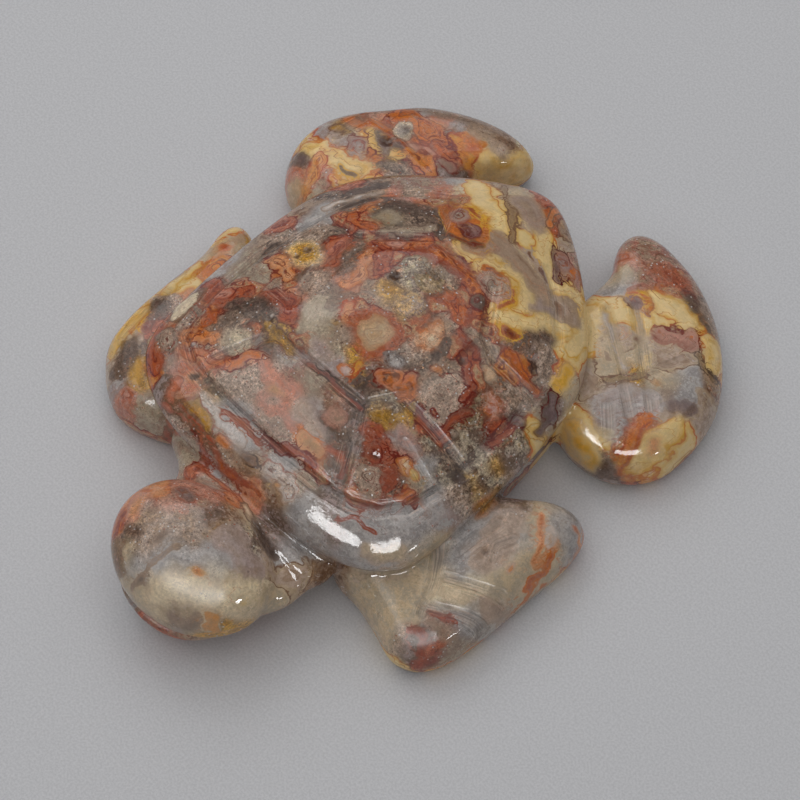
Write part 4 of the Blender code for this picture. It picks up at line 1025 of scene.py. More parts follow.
def even_ring(points, count):
    """Closed smooth curve through the points, resampled at even steps."""
    total = len(points)
    xy = np.array(points, dtype=float)
    share = np.linspace(0.0, 1.0, CURVE_STEPS, endpoint=False)[:, None]
    fine = []
    for i in range(total):
        a = xy[i - 1]
        b = xy[i]
        c = xy[(i + 1) % total]
        d = xy[(i + 2) % total]
        bend = (2.0 * a - 5.0 * b + 4.0 * c - d) * share ** 2
        twist = (3.0 * b - a - 3.0 * c + d) * share ** 3
        fine.append((2.0 * b + (c - a) * share + bend + twist) * 0.5)
    fine = np.vstack(fine)
    shut = np.vstack([fine, fine[:1]])
    run = np.concatenate([[0.0], np.cumsum(np.hypot(*np.diff(shut, axis=0).T))])
    at = np.linspace(0.0, run[-1], count, endpoint=False)
    return np.stack([np.interp(at, run, shut[:, 0]), np.interp(at, run, shut[:, 1])], 1)


def skin_loops(bm, loops):
    """Join a stack of closed point loops side by side and close both ends."""
    rings = [[bm.verts.new(tuple(p)) for p in loop] for loop in loops]
    count = len(rings[0])
    for low, high in zip(rings[:-1], rings[1:]):
        for i in range(count):
            j = (i + 1) % count
            bm.faces.new((low[i], low[j], high[j], high[i]))
    bm.faces.new(list(reversed(rings[0])))
    bm.faces.new(rings[-1])


def stacked_copies(ring, middle, rows):
    """Copies of a plan outline, each scaled about the middle and set at its height."""
    centre = np.array(middle)
    loops = []
    for scale, z in rows:
        plan = centre + (ring - centre) * scale
        loops.append(np.column_stack([plan, np.full(len(plan), z)]))
    return loops


def shell_ring(count):
    far_half = [(-x, y) for x, y in SHELL_HALF[:0:-1]]
    return even_ring(SHELL_HALF + [SHELL_TAIL] + far_half, count)


def add_shell(bm):
    rise = SHELL_TOP - SHELL_RIM
    rows = SHELL_UNDERSIDE + [(1.0, SHELL_RIM)]
    rows += [(scale, SHELL_RIM + rise * share) for scale, share in SHELL_DOME]
    skin_loops(bm, stacked_copies(shell_ring(SHELL_POINTS), SHELL_MIDDLE, rows))


def add_belly(bm):
    skin_loops(bm, stacked_copies(shell_ring(BELLY_POINTS), SHELL_MIDDLE, BELLY_ROWS))


def add_flipper(bm, outline, middle, top):
    """Pillow-shaped flipper whose upper side falls a little away from the shell."""
    rows = FLIPPER_LOW_ROWS + [(scale, top * share) for scale, share in FLIPPER_TOP_ROWS]
    loops = stacked_copies(even_ring(outline, FLIPPER_POINTS), middle, rows)
    root = math.hypot(*middle) - FLIPPER_ROOT
    for loop in loops:
        away = np.hypot(loop[:, 0], loop[:, 1]) - root
        loop[:, 2] *= 1.0 - FLIPPER_FALL * np.clip(away / FLIPPER_REACH, 0.0, 1.0)
    skin_loops(bm, loops)


def add_neck(bm):
    turn = np.linspace(0.0, 2.0 * math.pi, NECK_POINTS, endpoint=False)
    across = np.sign(np.cos(turn)) * np.abs(np.cos(turn)) ** NECK_ROUNDNESS
    up = np.sign(np.sin(turn)) * np.abs(np.sin(turn)) ** NECK_ROUNDNESS
    loops = []
    for y, middle_x, half, low, high in NECK_SECTIONS:
        x = middle_x + half * across
        z = (low + high) / 2.0 + (high - low) / 2.0 * up
        loops.append(np.column_stack([x, np.full(len(x), y), z]))
    skin_loops(bm, loops)


def add_egg(bm, centre, half, fullness):
    """Ball drawn out to three half sizes. A fullness above 2 makes it squarer."""
    around, upward = EGG_POINTS
    made = bmesh.ops.create_uvsphere(bm, u_segments=around, v_segments=upward, radius=1.0)
    for v in made["verts"]:
        size = sum(abs(c) ** fullness for c in v.co) ** (1.0 / fullness)
        spot = v.co / size
        narrow = 1.0 - EGG_NARROWING * max(0.0, -spot.y)
        v.co.x = centre[0] + half[0] * spot.x * narrow
        v.co.y = centre[1] + half[1] * spot.y
        v.co.z = centre[2] + half[2] * spot.z


def rough_turtle():
    """All forms as overlapping closed bodies in one mesh, millimetres."""
    bm = bmesh.new()
    add_shell(bm)
    add_belly(bm)
    for outline, middle, top in FLIPPERS:
        add_flipper(bm, outline, middle, top)
    add_neck(bm)
    add_egg(bm, HEAD_CENTRE, HEAD_HALF, HEAD_FULLNESS)
    add_egg(bm, JAW_CENTRE, JAW_HALF, JAW_FULLNESS)
    bmesh.ops.recalc_face_normals(bm, faces=bm.faces)
    mesh = bpy.data.meshes.new("turtle_stone")
    bm.to_mesh(mesh)
    bm.free()
    obj = bpy.data.objects.new("turtle_stone", mesh)
    bpy.context.scene.collection.objects.link(obj)
    return obj


def fuse(obj):
    """Melt the bodies into one even skin and soften it where they meet."""
    remesh = obj.modifiers.new("fuse", "REMESH")
    remesh.mode = "VOXEL"
    remesh.voxel_size = CELL
    soften = obj.modifiers.new("soften", "SMOOTH")
    soften.factor = SOFTENING
    soften.iterations = SOFTENING_STEPS
    graph = bpy.context.evaluated_depsgraph_get()
    result = bpy.data.meshes.new_from_object(obj.evaluated_get(graph))
    obj.modifiers.clear()
    obj.data = result


def points_and_normals(mesh):
    co = np.empty(len(mesh.vertices) * 3)
    normal = np.empty(len(mesh.vertices) * 3)
    mesh.vertices.foreach_get("co", co)
    mesh.vertices.foreach_get("normal", normal)
    return co.reshape(-1, 3), normal.reshape(-1, 3)


def keep_number(mesh, name, values):
    """Store one number for each point, where the shader can read it."""
    layer = mesh.attributes.new(name, "FLOAT", "POINT")
    layer.data.foreach_set("value", np.asarray(values, dtype=np.float32))


def keep_colour(mesh, name, values):
    """Store one colour for each point."""
    layer = mesh.attributes.new(name, "FLOAT_COLOR", "POINT")
    rgba = np.ones((len(values), 4), dtype=np.float32)
    rgba[:, :3] = values
    layer.data.foreach_set("color", rgba.ravel())


def step(value, low, high):
    """Smooth step from 0 to 1 while value goes from low to high."""
    share = np.clip((value - low) / (high - low), 0.0, 1.0)
    return share * share * (3.0 - 2.0 * share)


def lay_over(base, share, new):
    """Paint the new colours or numbers over the base by their share."""
    if base.ndim > 1:
        share = share[:, None]
    return base + (new - base) * share


def beside_run(xy, run):
    """Plan distance from the points to a run of straight pieces, and the way along it.

    The distance is negative on the right of the run."""
    best = np.full(len(xy), np.inf)
    signed = np.full(len(xy), np.inf)
    along = np.zeros(len(xy))
    passed = 0.0
    for a, b in zip(run[:-1], run[1:]):
        start = np.array(a)
        piece = np.array(b) - start
        share = np.clip(((xy - start) @ piece) / (piece @ piece), 0.0, 1.0)
        gap = xy - (start + share[:, None] * piece)
        off = np.hypot(gap[:, 0], gap[:, 1])
        side = np.where(piece[0] * gap[:, 1] - piece[1] * gap[:, 0] < 0.0, -1.0, 1.0)
        signed = np.where(off < best, off * side, signed)
        along = np.where(off < best, passed + share * np.hypot(*piece), along)
        best = np.minimum(best, off)
        passed += np.hypot(*piece)
    return signed, along


def past_ends(xy, run):
    """How far the points lie beyond the first or the last place of a run."""
    beyond = []
    for end, inner in ((run[0], run[1]), (run[-1], run[-2])):
        out = np.array(end) - np.array(inner)
        beyond.append((xy - np.array(end)) @ out / np.hypot(*out))
    return np.maximum(*beyond)


def add_line(marks, xy, zone, share, run):
    """Note one carved line: its cut, and the scratches beside and along it."""
    signed, along = beside_run(xy, run)
    off = signed / (GROOVE_WIDTH / 2.0)
    cut = np.where(zone, np.clip(1.0 - off ** 2, 0.0, 1.0) ** GROOVE_FULLNESS, 0.0)
    scuff = np.where(zone, np.clip(1.0 - (signed * 2.0 / SCUFF_WIDTH) ** 2, 0.0, 1.0), 0.0)
    scuff *= step(past_ends(xy, run), SCUFF_END, 0.0)
    closer = scuff * share > marks["scuff"]
    marks["scuff"] = np.maximum(marks["scuff"], scuff * share)
    marks["across"] = np.where(closer, signed, marks["across"])
    marks["along"] = np.where(closer, along + SCRATCH_SHIFT * run[0][0], marks["along"])
    # The cut darkens the line, as painted shade and dirt, and dulls it.
    marks["cut"] = np.maximum(marks["cut"], cut * min(1.0, share + CUT_DARKENING))
    return cut


def grooves(co, normal):
    """Depth of the carved lines, and the numbers that the shader needs there."""
    depth = np.zeros(len(co))
    marks = {name: np.zeros(len(co)) for name in ("cut", "scuff", "across", "along", "worn")}
    faces_up = normal[:, 2] > LINE_FACING
    on_shell = faces_up & (co[:, 2] > SHELL_LINES_ABOVE)
    on_flipper = faces_up & (co[:, 2] < SHELL_RIM) & (co[:, 2] > FLIPPER_LINES_ABOVE)
    for zone, lines in ((on_shell, SHELL_LINES), (on_flipper, FLIPPER_LINES)):
        for share, run in lines:
            cut = add_line(marks, co[:, :2], zone, share, run)
            depth = np.maximum(depth, cut * share * GROOVE_DEPTH)
            if lines is FLIPPER_LINES:
                marks["worn"] = np.maximum(marks["worn"], cut)
    return depth, marks


def mouth_share(co):
    """The mouth: 1 in the middle of its line and 0 beside it."""
    snout = HEAD_CENTRE[1] - HEAD_HALF[1]
    behind = (co[:, 1] - snout) / MOUTH_LENGTH
    line = MOUTH_HEIGHT - MOUTH_DROP * np.clip(behind, 0.0, 1.0)
    off = (co[:, 2] - line) / (MOUTH_WIDTH / 2.0)
    cut = np.clip(1.0 - off ** 2, 0.0, 1.0) * np.clip(MOUTH_FADE * (1.0 - behind), 0.0, 1.0)
    return np.where(co[:, 1] < snout + MOUTH_LENGTH, cut, 0.0)


def pit_depth(co, normal):
    depth = np.zeros(len(co))
    up = normal[:, 2] > PIT_FACING
    for x, y, radius, deep in PITS:
        off = np.hypot(co[:, 0] - x, co[:, 1] - y) / radius
        depth = np.maximum(depth, np.where(up, deep * np.clip(1.0 - off ** 2, 0.0, 1.0), 0.0))
    return depth


def satin_share(co):
    """1 in the satin patches and 0 on the mirror-like skin."""
    share = np.zeros(len(co))
    for x, y, radius in SATIN_PATCHES:
        patch = step(np.hypot(co[:, 0] - x, co[:, 1] - y), radius, radius * SATIN_CORE)
        share = np.maximum(share, patch)
    return share


def carve(obj):
    """Sink the lines, the mouth and the pits into the skin and keep their outlines."""
    co, normal = points_and_normals(obj.data)
    depth, marks = grooves(co, normal)
    marks["mouth"] = mouth_share(co)
    depth = np.maximum(depth, marks["mouth"] * MOUTH_DEPTH)
    pits = pit_depth(co, normal)
    sunk = co - normal * (depth + pits)[:, None]
    obj.data.vertices.foreach_set("co", sunk.ravel())
    # The share of painted shade inside each pit.
    marks["pit_shade"] = np.clip(pits / DARK_PIT_DEPTH, 0.0, 1.0)
    marks["satin"] = satin_share(co)
    for name, values in marks.items():
        keep_number(obj.data, name, values)
    obj.data.update()


def linear(rgb):
    """sRGB 0 to 255 as the linear numbers that the shader takes."""
    return tuple(
        c / 255.0 / 12.92 if c <= 10 else ((c / 255.0 + 0.055) / 1.055) ** 2.4 for c in rgb
    )


def colour(name):
    return linear(COLOURS[name])


def warped(co):
    """The points shifted by smooth noise, so that what is drawn with them wanders."""
    noise.seed_set(WARP_SEED)
    moved = co.copy()
    for amount, bend in WARPS:
        moved += np.array([noise.noise_vector(Vector(p) / bend) for p in co]) * amount
    return moved


def height_at(co, x, y):
    """Height of the upper skin over a plan place."""
    away = np.hypot(co[:, 0] - x, co[:, 1] - y)
    close = away < HEIGHT_REACH
    if not close.any():
        close = away < OFF_SKIN_REACH
    return co[close, 2].max()


def chance_places(co, normal, count, rng):
    """Places that face away from the photograph's camera, drawn by chance."""
    view = np.array(towards(VIEW_AZIMUTH, VIEW_ELEVATION))
    hidden = np.flatnonzero(normal @ view < CHANCE_FACING)
    return co[rng.choice(hidden, count, replace=False)]


def ground_sites(co, normal):
    """Middle and kind of every patch of ground, on the top and below."""
    sites = []
    for kind, places in GROUND_PLACES.items():
        for x, y in places:
            sites.append(((x, y, height_at(co, x, y)), kind))
    rng = np.random.default_rng(CHANCE_SEED)
    for place in chance_places(co, normal, CHANCE_GROUNDS, rng):
        kind = CHANCE_GROUND_LOOKS[rng.integers(len(CHANCE_GROUND_LOOKS))]
        sites.append((tuple(place), kind))
    return sites


def two_nearest(co, normal, spots):
    """Numbers of the two nearest kinds of ground, and which is nearer by how much.

    The last is the signed distance to the line between them, negative where over lies."""
    kinds = list(GROUNDS)
    nearest = np.full((len(kinds), len(spots)), np.inf)
    for place, kind in ground_sites(co, normal):
        away = np.sqrt(((spots - np.array(place)) ** 2).sum(axis=1))
        row = kinds.index(kind)
        nearest[row] = np.minimum(nearest[row], away)
    under, over = np.sort(np.argsort(nearest, axis=0)[:2], axis=0)
    points = np.arange(len(spots))
    return under, over, (nearest[over, points] - nearest[under, points]) / 2.0


def melting(widths, under, over):
    """How many millimetres two neighbouring kinds of ground take to melt."""
    lesser = np.minimum(widths[under], widths[over])
    return lesser * MELT_OF_LESSER + widths[under] * widths[over] * MELT_OF_BOTH


def ground_coats(co, normal, spots):
    """Colours and numbers of each point from the two nearest kinds of ground.

    rim is the distance to the line between two kinds, or to the outline of a mark, and is
    negative where the one called over lies. The shader draws that line crisply."""
    under, over, rim = two_nearest(co, normal, spots)
    *names, banding, grain, widths = zip(*GROUNDS.values())
    lines, edges, bodies, pales = [np.array([colour(n) for n in column]) for column in names]
    widths = np.array(widths)
    melt = melting(widths, under, over)
    ragged = np.array([noise.noise(Vector(p) * RAGGED_FINENESS) for p in co])
    rim = rim + melt * RAGGED * ragged
    share = step(rim / melt, 1.0, -1.0)
    coats = {}
    for part, values in (
        ("deep", lines), ("edge", edges), ("body", bodies), ("pale", pales),
        ("banding", np.array(banding)), ("grain", np.array(grain)),
    ):
        coats[part] = lay_over(values[under], share, values[over])
    crisper = np.where(widths[under] <= widths[over], under, over)
    coats["outline"] = lines[crisper]
    coats["sharp"] = np.clip(SHARP_MOST - widths[crisper] / SHARP_WIDTH, 0.0, 1.0)
    coats["way"] = np.abs(rim)
    coats["rim"] = rim
    at_edge = edge_share(coats["way"], coats["sharp"])
    coats["over"] = lay_over(coats["body"], at_edge, bodies[over])
    coats["under"] = lay_over(coats["body"], at_edge, bodies[under])
    return coats


def edge_share(away, sharp):
    """1 beside a crisp line and 0 away from it and where nothing is crisp."""
    return step(away, EDGE_BAND, EDGE_FULL * EDGE_BAND) * step(sharp, *EDGE_SHARPNESS)


def all_orbs(co, normal):
    """Every orb as middle, half sizes, turn, colours and grain."""
    orbs = []
    for x, y, half_x, half_y, turn, names, grain in ORBS:
        orbs.append(((x, y, height_at(co, x, y)), half_x, half_y, turn, names, grain))
    rng = np.random.default_rng(CHANCE_SEED + 1)
    for place in chance_places(co, normal, CHANCE_ORBS, rng):
        names, grain = CHANCE_LOOKS[rng.integers(len(CHANCE_LOOKS))]
        size = rng.uniform(*CHANCE_SIZES)
        narrow = size * rng.uniform(*CHANCE_NARROWING)
        orbs.append((tuple(place), size, narrow, rng.uniform(0, 180), names, grain))
    return orbs


def orb_share(orb, spots):
    """How far from an orb's middle to its outline each point lies."""
    middle, half_x, half_y, turn, _, _ = orb
    gap = spots - np.array(middle)
    cosine = math.cos(math.radians(turn))
    sine = math.sin(math.radians(turn))
    u = (gap[:, 0] * cosine + gap[:, 1] * sine) / half_x
    v = (gap[:, 1] * cosine - gap[:, 0] * sine) / half_y
    w = gap[:, 2] / (ORB_DEPTH * min(half_x, half_y) + ORB_DEPTH_MORE)
    return np.sqrt(u * u + v * v + w * w)


def orb_marks(co, normal, spots):
    """Half width, colours, grain, cover and freedom of each orb, and each point's share."""
    for orb in all_orbs(co, normal):
        _, half_x, half_y, _, names, grain = orb
        half = min(half_x, half_y)
        yield half, names, grain, ORB_COVER, ORB_WANDER, orb_share(orb, spots)


def stroke_marks(strokes, cover, spots, normal):
    """The same for strokes, which lie on upward faces only."""
    for half, names, grain, *run in strokes:
        share = np.abs(beside_run(spots[:, :2], run)[0]) / half
        share += np.where(normal[:, 2] < STROKE_LOWEST, FAR_OFF, 0.0)
        yield half, names, grain, cover, 1.0, share


def all_marks(co, normal, spots):
    """Broad strokes first, then the orbs, then the fine strokes."""
    yield from stroke_marks(BROAD_STROKES, BROAD_COVER, spots, normal)
    yield from orb_marks(co, normal, spots)
    yield from stroke_marks(FINE_STROKES, FINE_COVER, spots, normal)


def mark_manner(half, outline):
    """How sharply and how strongly banded a mark is drawn, by its width and outline."""
    sharp = SHARPNESS.get(outline, OTHER_SHARPNESS)
    if half < THIN:
        return max(sharp, THIN_SHARPNESS), MARK_BANDING
    if outline in RED_OUTLINES:
        return sharp, RED_BANDING
    return sharp, MARK_BANDING


def lay_mark(coats, half, names, grain, cover, off):
    """Paint one orb or stroke. off is how far outside its outline each point lies."""
    core, middle, rim, line = [np.array(colour(name)) for name in names.split()]
    sharp, banding = mark_manner(half, names.split()[3])
    soft = min(CRISP_EDGE * sharp + BLUNT_EDGE * (1.0 - sharp), WIDEST_EDGE * half)
    near = np.flatnonzero(off < soft + OUTLINE_REACH)
    off = off[near]
    inside = 1.0 + off / half
    share = step(off, soft, -soft) * cover
    shade = lay_over(np.tile(core, (len(off), 1)), step(inside, *CORE_TO_MIDDLE), middle)
    shade = lay_over(shade, step(inside, *MIDDLE_TO_RIM), rim)
    before = coats["body"][near]
    pale = (shade * (1.0 - PALE_OF_CORE) + core * PALE_OF_CORE) * PALER
    for part, value in (
        ("body", shade), ("pale", pale), ("edge", (shade + rim) / 2.0),
        ("deep", (shade + line) / 2.0), ("banding", banding), ("grain", grain),
    ):
        coats[part][near] = lay_over(coats[part][near], share, value)
    at_edge = edge_share(np.abs(off), sharp)
    covered = before + (shade - before) * cover
    note_outline(coats, near, off, sharp, line)
    taken = (off < 0.0) | (np.abs(coats["rim"][near]) > off)
    after = coats["body"][near]
    for part, value in (("over", covered), ("under", before)):
        coats[part][near[taken]] = lay_over(after, at_edge, value)[taken]
    coats["rim"][near[taken]] = off[taken]


def note_outline(coats, near, off, sharp, line):
    """Take over the outline's colour and sharpness beside a mark, and the way to it."""
    at_line = step(np.abs(off), OUTLINE_REACH, OUTLINE_FULL)
    coats["outline"][near] = lay_over(coats["outline"][near], at_line, line)
    coats["sharp"][near] = lay_over(coats["sharp"][near], at_line, sharp)
    coats["way"][near] = np.where(off < 0.0, -off, np.minimum(coats["way"][near], off))


def lay_marks(coats, co, normal, spots):
    """Paint all marks over each other, with edges that wander."""
    wander = np.zeros(len(co))
    for amount, length in EDGE_WANDER:
        wander += np.array([noise.noise(Vector(p) / length) for p in co]) * amount
    for half, names, grain, cover, freedom, share in all_marks(co, normal, spots):
        off = (share - 1.0) * half + wander * freedom * min(1.0, half / WANDER_HALF)
        lay_mark(coats, half, names, grain, cover, off)


def melted(mesh, values, passes):
    """The values after each point has shared them with its neighbours a few times."""
    ends = np.empty(len(mesh.edges) * 2, dtype=int)
    mesh.edges.foreach_get("vertices", ends)
    a, b = ends.reshape(-1, 2).T
    count = len(mesh.vertices)
    crowd = 1.0 + np.bincount(a, minlength=count) + np.bincount(b, minlength=count)
    columns = values.reshape(count, -1).T.copy()
    for i, column in enumerate(columns):
        for _ in range(passes):
            total = np.bincount(a, column[b], count) + np.bincount(b, column[a], count)
            column = (column + total) / crowd
        columns[i] = column
    return columns.T.reshape(values.shape)


def draw_pattern(obj):
    """Store the colours and numbers of the stone's pattern at every point of the skin."""
    mesh = obj.data
    co, normal = points_and_normals(mesh)
    spots = warped(co)
    coats = ground_coats(co, normal, spots)
    lay_marks(coats, co, normal, co + (spots - co) * ORB_WARP)
    blunt = 1.0 - step(coats["sharp"], *MELT_SHARPNESS)
    for part, values in coats.items():
        if part != "rim":
            values = melted(mesh, values, MELT_ALL)
        if part not in ("way", "rim"):
            values = lay_over(values, blunt, melted(mesh, values, MELT_BLUNT))
        if values.ndim > 1:
            keep_colour(mesh, part, values)
        else:
            keep_number(mesh, part, values)


def values_below(bm):
    """A tree that finds the points below the cut in plan, their values and the layers."""
    numbers = bm.verts.layers.float.values()
    colours = bm.verts.layers.float_color.values()
    lower = [v for v in bm.verts if v.co.z < BELLY_CUT]
    tree = KDTree(len(lower))
    for i, v in enumerate(lower):
        tree.insert((v.co.x, v.co.y, 0.0), i)
    tree.balance()
    values = [[v[n] for n in numbers] + [tuple(v[c]) for c in colours] for v in lower]
    return tree, values, numbers + colours


def belly_net(corners, rim):
    """Plan places and triangles of a net inside the rim, whose points come first."""
    place = {v: i for i, v in enumerate(corners)}
    lines = [(place[e.verts[0]], place[e.verts[1]]) for e in rim]
    spots = [v.co.xy for v in corners]
    low = [min(spot[axis] for spot in spots) for axis in (0, 1)]
    high = [max(spot[axis] for spot in spots) for axis in (0, 1)]
    for x in np.arange(low[0], high[0], BELLY_STEP):
        spots += [Vector((x, y)) for y in np.arange(low[1], high[1], BELLY_STEP)]
    flat, _, faces, origins, _, _ = delaunay_2d_cdt(spots, lines, [], 1, NET_GAP)
    return flat, faces, origins


def close_belly(bm, below):
    """Close the cut with a net of points that carry the pattern across the belly."""
    tree, values, layers = below
    rim = [e for e in bm.edges if e.is_boundary]
    bm.verts.index_update()
    corners = sorted({v for e in rim for v in e.verts}, key=lambda v: v.index)
    flat, faces, origins = belly_net(corners, rim)
    points = {}
    for i in sorted({i for face in faces for i in face}):
        if origins[i][0] < len(corners):
            points[i] = corners[origins[i][0]]
            continue
        points[i] = bm.verts.new((*flat[i], BELLY_CUT))
        nearest = tree.find((*flat[i], 0.0))[1]
        for layer, value in zip(layers, values[nearest]):
            points[i][layer] = value
    for face in faces:
        bm.faces.new([points[i] for i in face])


def cut_belly_and_place(obj):
    """Cut the belly flat and set the stone where part.py does, in metres."""
    bm = bmesh.new()
    bm.from_mesh(obj.data)
    below = values_below(bm)
    bmesh.ops.bisect_plane(
        bm, geom=bm.verts[:] + bm.edges[:] + bm.faces[:], dist=CUT_GAP,
        plane_co=(0.0, 0.0, BELLY_CUT), plane_no=(0.0, 0.0, -1.0), clear_outer=True,
    )
    bmesh.ops.remove_doubles(bm, verts=bm.verts, dist=MERGE_GAP)
    close_belly(bm, below)
    bmesh.ops.delete(bm, geom=[v for v in bm.verts if not v.link_faces], context="VERTS")
    bmesh.ops.triangulate(bm, faces=[f for f in bm.faces if len(f.verts) > 4])
    bmesh.ops.recalc_face_normals(bm, faces=bm.faces)
    for v in bm.verts:
        v.co = (v.co - Vector(PLAN_SHIFT)) * MM
    for face in bm.faces:
        face.smooth = True
    bm.to_mesh(obj.data)
    bm.free()


class Sketch:
    """Short words for adding shader nodes to one material."""

    def __init__(self, tree):
        self.tree = tree

    def node(self, kind, **settings):
        made = self.tree.nodes.new(kind)
        for name, value in settings.items():
            setattr(made, name, value)
        return made

    def plug(self, socket, value):
        if isinstance(value, bpy.types.NodeSocket):
            self.tree.links.new(value, socket)
        else:
            socket.default_value = value

    def number(self, name):
        return self.node("ShaderNodeAttribute", attribute_name=name).outputs["Fac"]

    def shade(self, name):
        return self.node("ShaderNodeAttribute", attribute_name=name).outputs["Color"]

    def math(self, operation, a, b=0.0, c=0.0):
        made = self.node("ShaderNodeMath", operation=operation)
        for socket, value in zip(made.inputs, (a, b, c)):
            self.plug(socket, value)
        return made.outputs[0]

    def plus(self, value, amount, rest):
        """The rest plus the value times the amount."""
        return self.math("MULTIPLY_ADD", value, amount, rest)

    def swing(self, value, amount):
        """1 plus the value times the amount, for brightening and darkening."""
        return self.plus(value, amount, 1.0)

    def product(self, *factors):
        result = factors[0]
        for factor in factors[1:]:
            result = self.math("MULTIPLY", result, factor)
        return result

    def ramp(self, value, low, high, bottom=0.0, top=1.0):
        """Smooth step from bottom to top while value goes from low to high."""
        made = self.node("ShaderNodeMapRange", interpolation_type="SMOOTHSTEP")
        for name, number in (
            ("Value", value), ("From Min", low), ("From Max", high),
            ("To Min", bottom), ("To Max", top),
        ):
            self.plug(made.inputs[name], number)
        return made.outputs[0]

    def stepped(self, value, name):
        """The smooth step that STEPS names."""
        return self.ramp(value, *STEPS[name])

    def stepped_off(self, value, middle, name):
        """The same step to both sides of a middle value."""
        off = self.math("ABSOLUTE", self.math("SUBTRACT", value, middle))
        return self.stepped(off, name)

    def mix(self, share, a, b, blend="MIX"):
        """Two colours, blended. The inputs 6 and 7 are those for colours."""
        made = self.node("ShaderNodeMix", data_type="RGBA", blend_type=blend)
        self.plug(made.inputs[0], share)
        self.plug(made.inputs[6], a)
        self.plug(made.inputs[7], b)
        return made.outputs[2]

    def mix_numbers(self, share, a, b):
        """Two numbers, blended. The inputs 2 and 3 are those for numbers."""
        made = self.node("ShaderNodeMix", data_type="FLOAT")
        self.plug(made.inputs[0], share)
        self.plug(made.inputs[2], a)
        self.plug(made.inputs[3], b)
        return made.outputs[0]

    def tint(self, share, base, name):
        """The base under a share of a colour that COLOURS names."""
        return self.mix(share, base, (*colour(name), 1.0))

    def spot(self, *parts):
        """A place put together from two or three numbers."""
        made = self.node("ShaderNodeCombineXYZ")
        for socket, value in zip(made.inputs, parts):
            self.plug(socket, value)
        return made.outputs[0]

    def clouds(self, place, size, detail, roughness):
        """Noise of about -0.5 to 0.5 whose lumps are as wide as the size."""
        made = self.node("ShaderNodeTexNoise")
        self.plug(made.inputs["Vector"], place)
        made.inputs["Scale"].default_value = 1.0 / size
        made.inputs["Detail"].default_value = detail
        made.inputs["Roughness"].default_value = roughness
        return self.math("SUBTRACT", made.outputs["Fac"], 0.5)

    def noise(self, place, name):
        """The noise that NOISES names."""
        return self.clouds(place, *NOISES[name])

    def crumbs(self, place, size):
        """Two random numbers for each crumb and the way from its middle, 0 to about 1."""
        made = self.node("ShaderNodeTexVoronoi")
        self.plug(made.inputs["Vector"], place)
        made.inputs["Scale"].default_value = 1.0 / size
        split = self.node("ShaderNodeSeparateColor")
        self.plug(split.inputs[0], made.outputs["Color"])
        return split.outputs[0], split.outputs[1], made.outputs["Distance"]


class StoneSketch(Sketch):
    """The noises and stored numbers that the stone's colour, polish and bump share."""

    def __init__(self, tree):
        super().__init__(tree)
        coords = self.node("ShaderNodeTexCoord")
        scaled = self.node("ShaderNodeVectorMath", operation="SCALE")
        self.plug(scaled.inputs[0], coords.outputs["Object"])
        scaled.inputs["Scale"].default_value = 1.0 / MM
        self.place = scaled.outputs[0]
        self.broad = self.noise(self.place, "broad")
        self.middle = self.noise(self.place, "middle")
        self.fine = self.noise(self.place, "fine")
        self.dust = self.noise(self.place, "dust")
        self.crumb, self.crumb_luck, self.crumb_away = self.crumbs(self.place, CRUMB_SIZE)
        self.banding = self.number("banding")
        self.calm = self.stepped(self.number("grain"), "calm")
        self.lacy = self.product(self.stepped(self.banding, "lacy"), self.calm)
        grain = self.plus(self.middle, GRAIN_CLOUDS, self.number("grain"))
        grain = self.math("MAXIMUM", grain, GRAIN_LEAST)
        self.grain = self.math("MINIMUM", grain, GRAIN_MOST)
        self.add_scratches()
        self.add_dots()

    def add_scratches(self):
        """Worn scratches that run along the carved lines."""
        across = self.number("across")
        along = self.number("along")
        slow = self.math("MULTIPLY", along, STREAK_STRETCH)
        streaks = self.noise(self.spot(across, slow), "streaks")
        wide = self.math("MULTIPLY", across, BUNDLE_STRETCH)
        self.bundles = self.noise(self.spot(wide, along), "bundles")
        bundled = self.stepped(self.bundles, "scratch bundle")
        self.scratch = self.product(streaks, bundled, self.number("scuff"))

    def add_dots(self):
        """Small round dots in the middle of the crumbs, and the few painted white as glints."""
        grainy = self.stepped(self.grain, "dotted grain")
        self.dot = self.product(self.stepped(self.crumb_away, "dot"), grainy)
        self.painted_glint = self.product(self.stepped(self.crumb_luck, "painted_glint"), self.dot)

    def wobbled(self, name, amounts):
        """A stored distance, shifted by the middle and the fine noise."""
        distance = self.plus(self.middle, amounts[0], self.number(name))
        return self.plus(self.fine, amounts[1], distance)


def banded(s):
    """Irregular bands that run along the outlines, or plain mottling."""
    way = s.wobbled("way", BAND_WOBBLE)
    bands = s.noise(s.spot(way, s.math("MULTIPLY", s.broad, BAND_CHANGE)), "bands")
    mottle = s.plus(s.fine, MOTTLE_WOBBLE, s.noise(s.place, "mottle"))
    tone = s.mix_numbers(s.banding, mottle, bands)
    base = s.mix(s.stepped(tone, "pale band"), s.shade("body"), s.shade("pale"))
    edge = s.product(s.stepped(tone, "edge band"), s.calm)
    base = s.mix(edge, base, s.shade("edge"))
    where = s.stepped(s.banding, "deeper where banded")
    deep = s.product(s.stepped(tone, "deep band"), where, s.calm)
    base = s.mix(deep, base, s.shade("deep"))
    change = s.plus(s.broad, THREAD_CHANGE, THREAD_SHIFT)
    threads = s.noise(s.spot(way, change), "threads")
    for middle, name in THREADS:
        thread = s.stepped_off(threads, middle, "thread")
        base = s.mix(s.product(thread, s.lacy), base, s.shade(name))
    return base


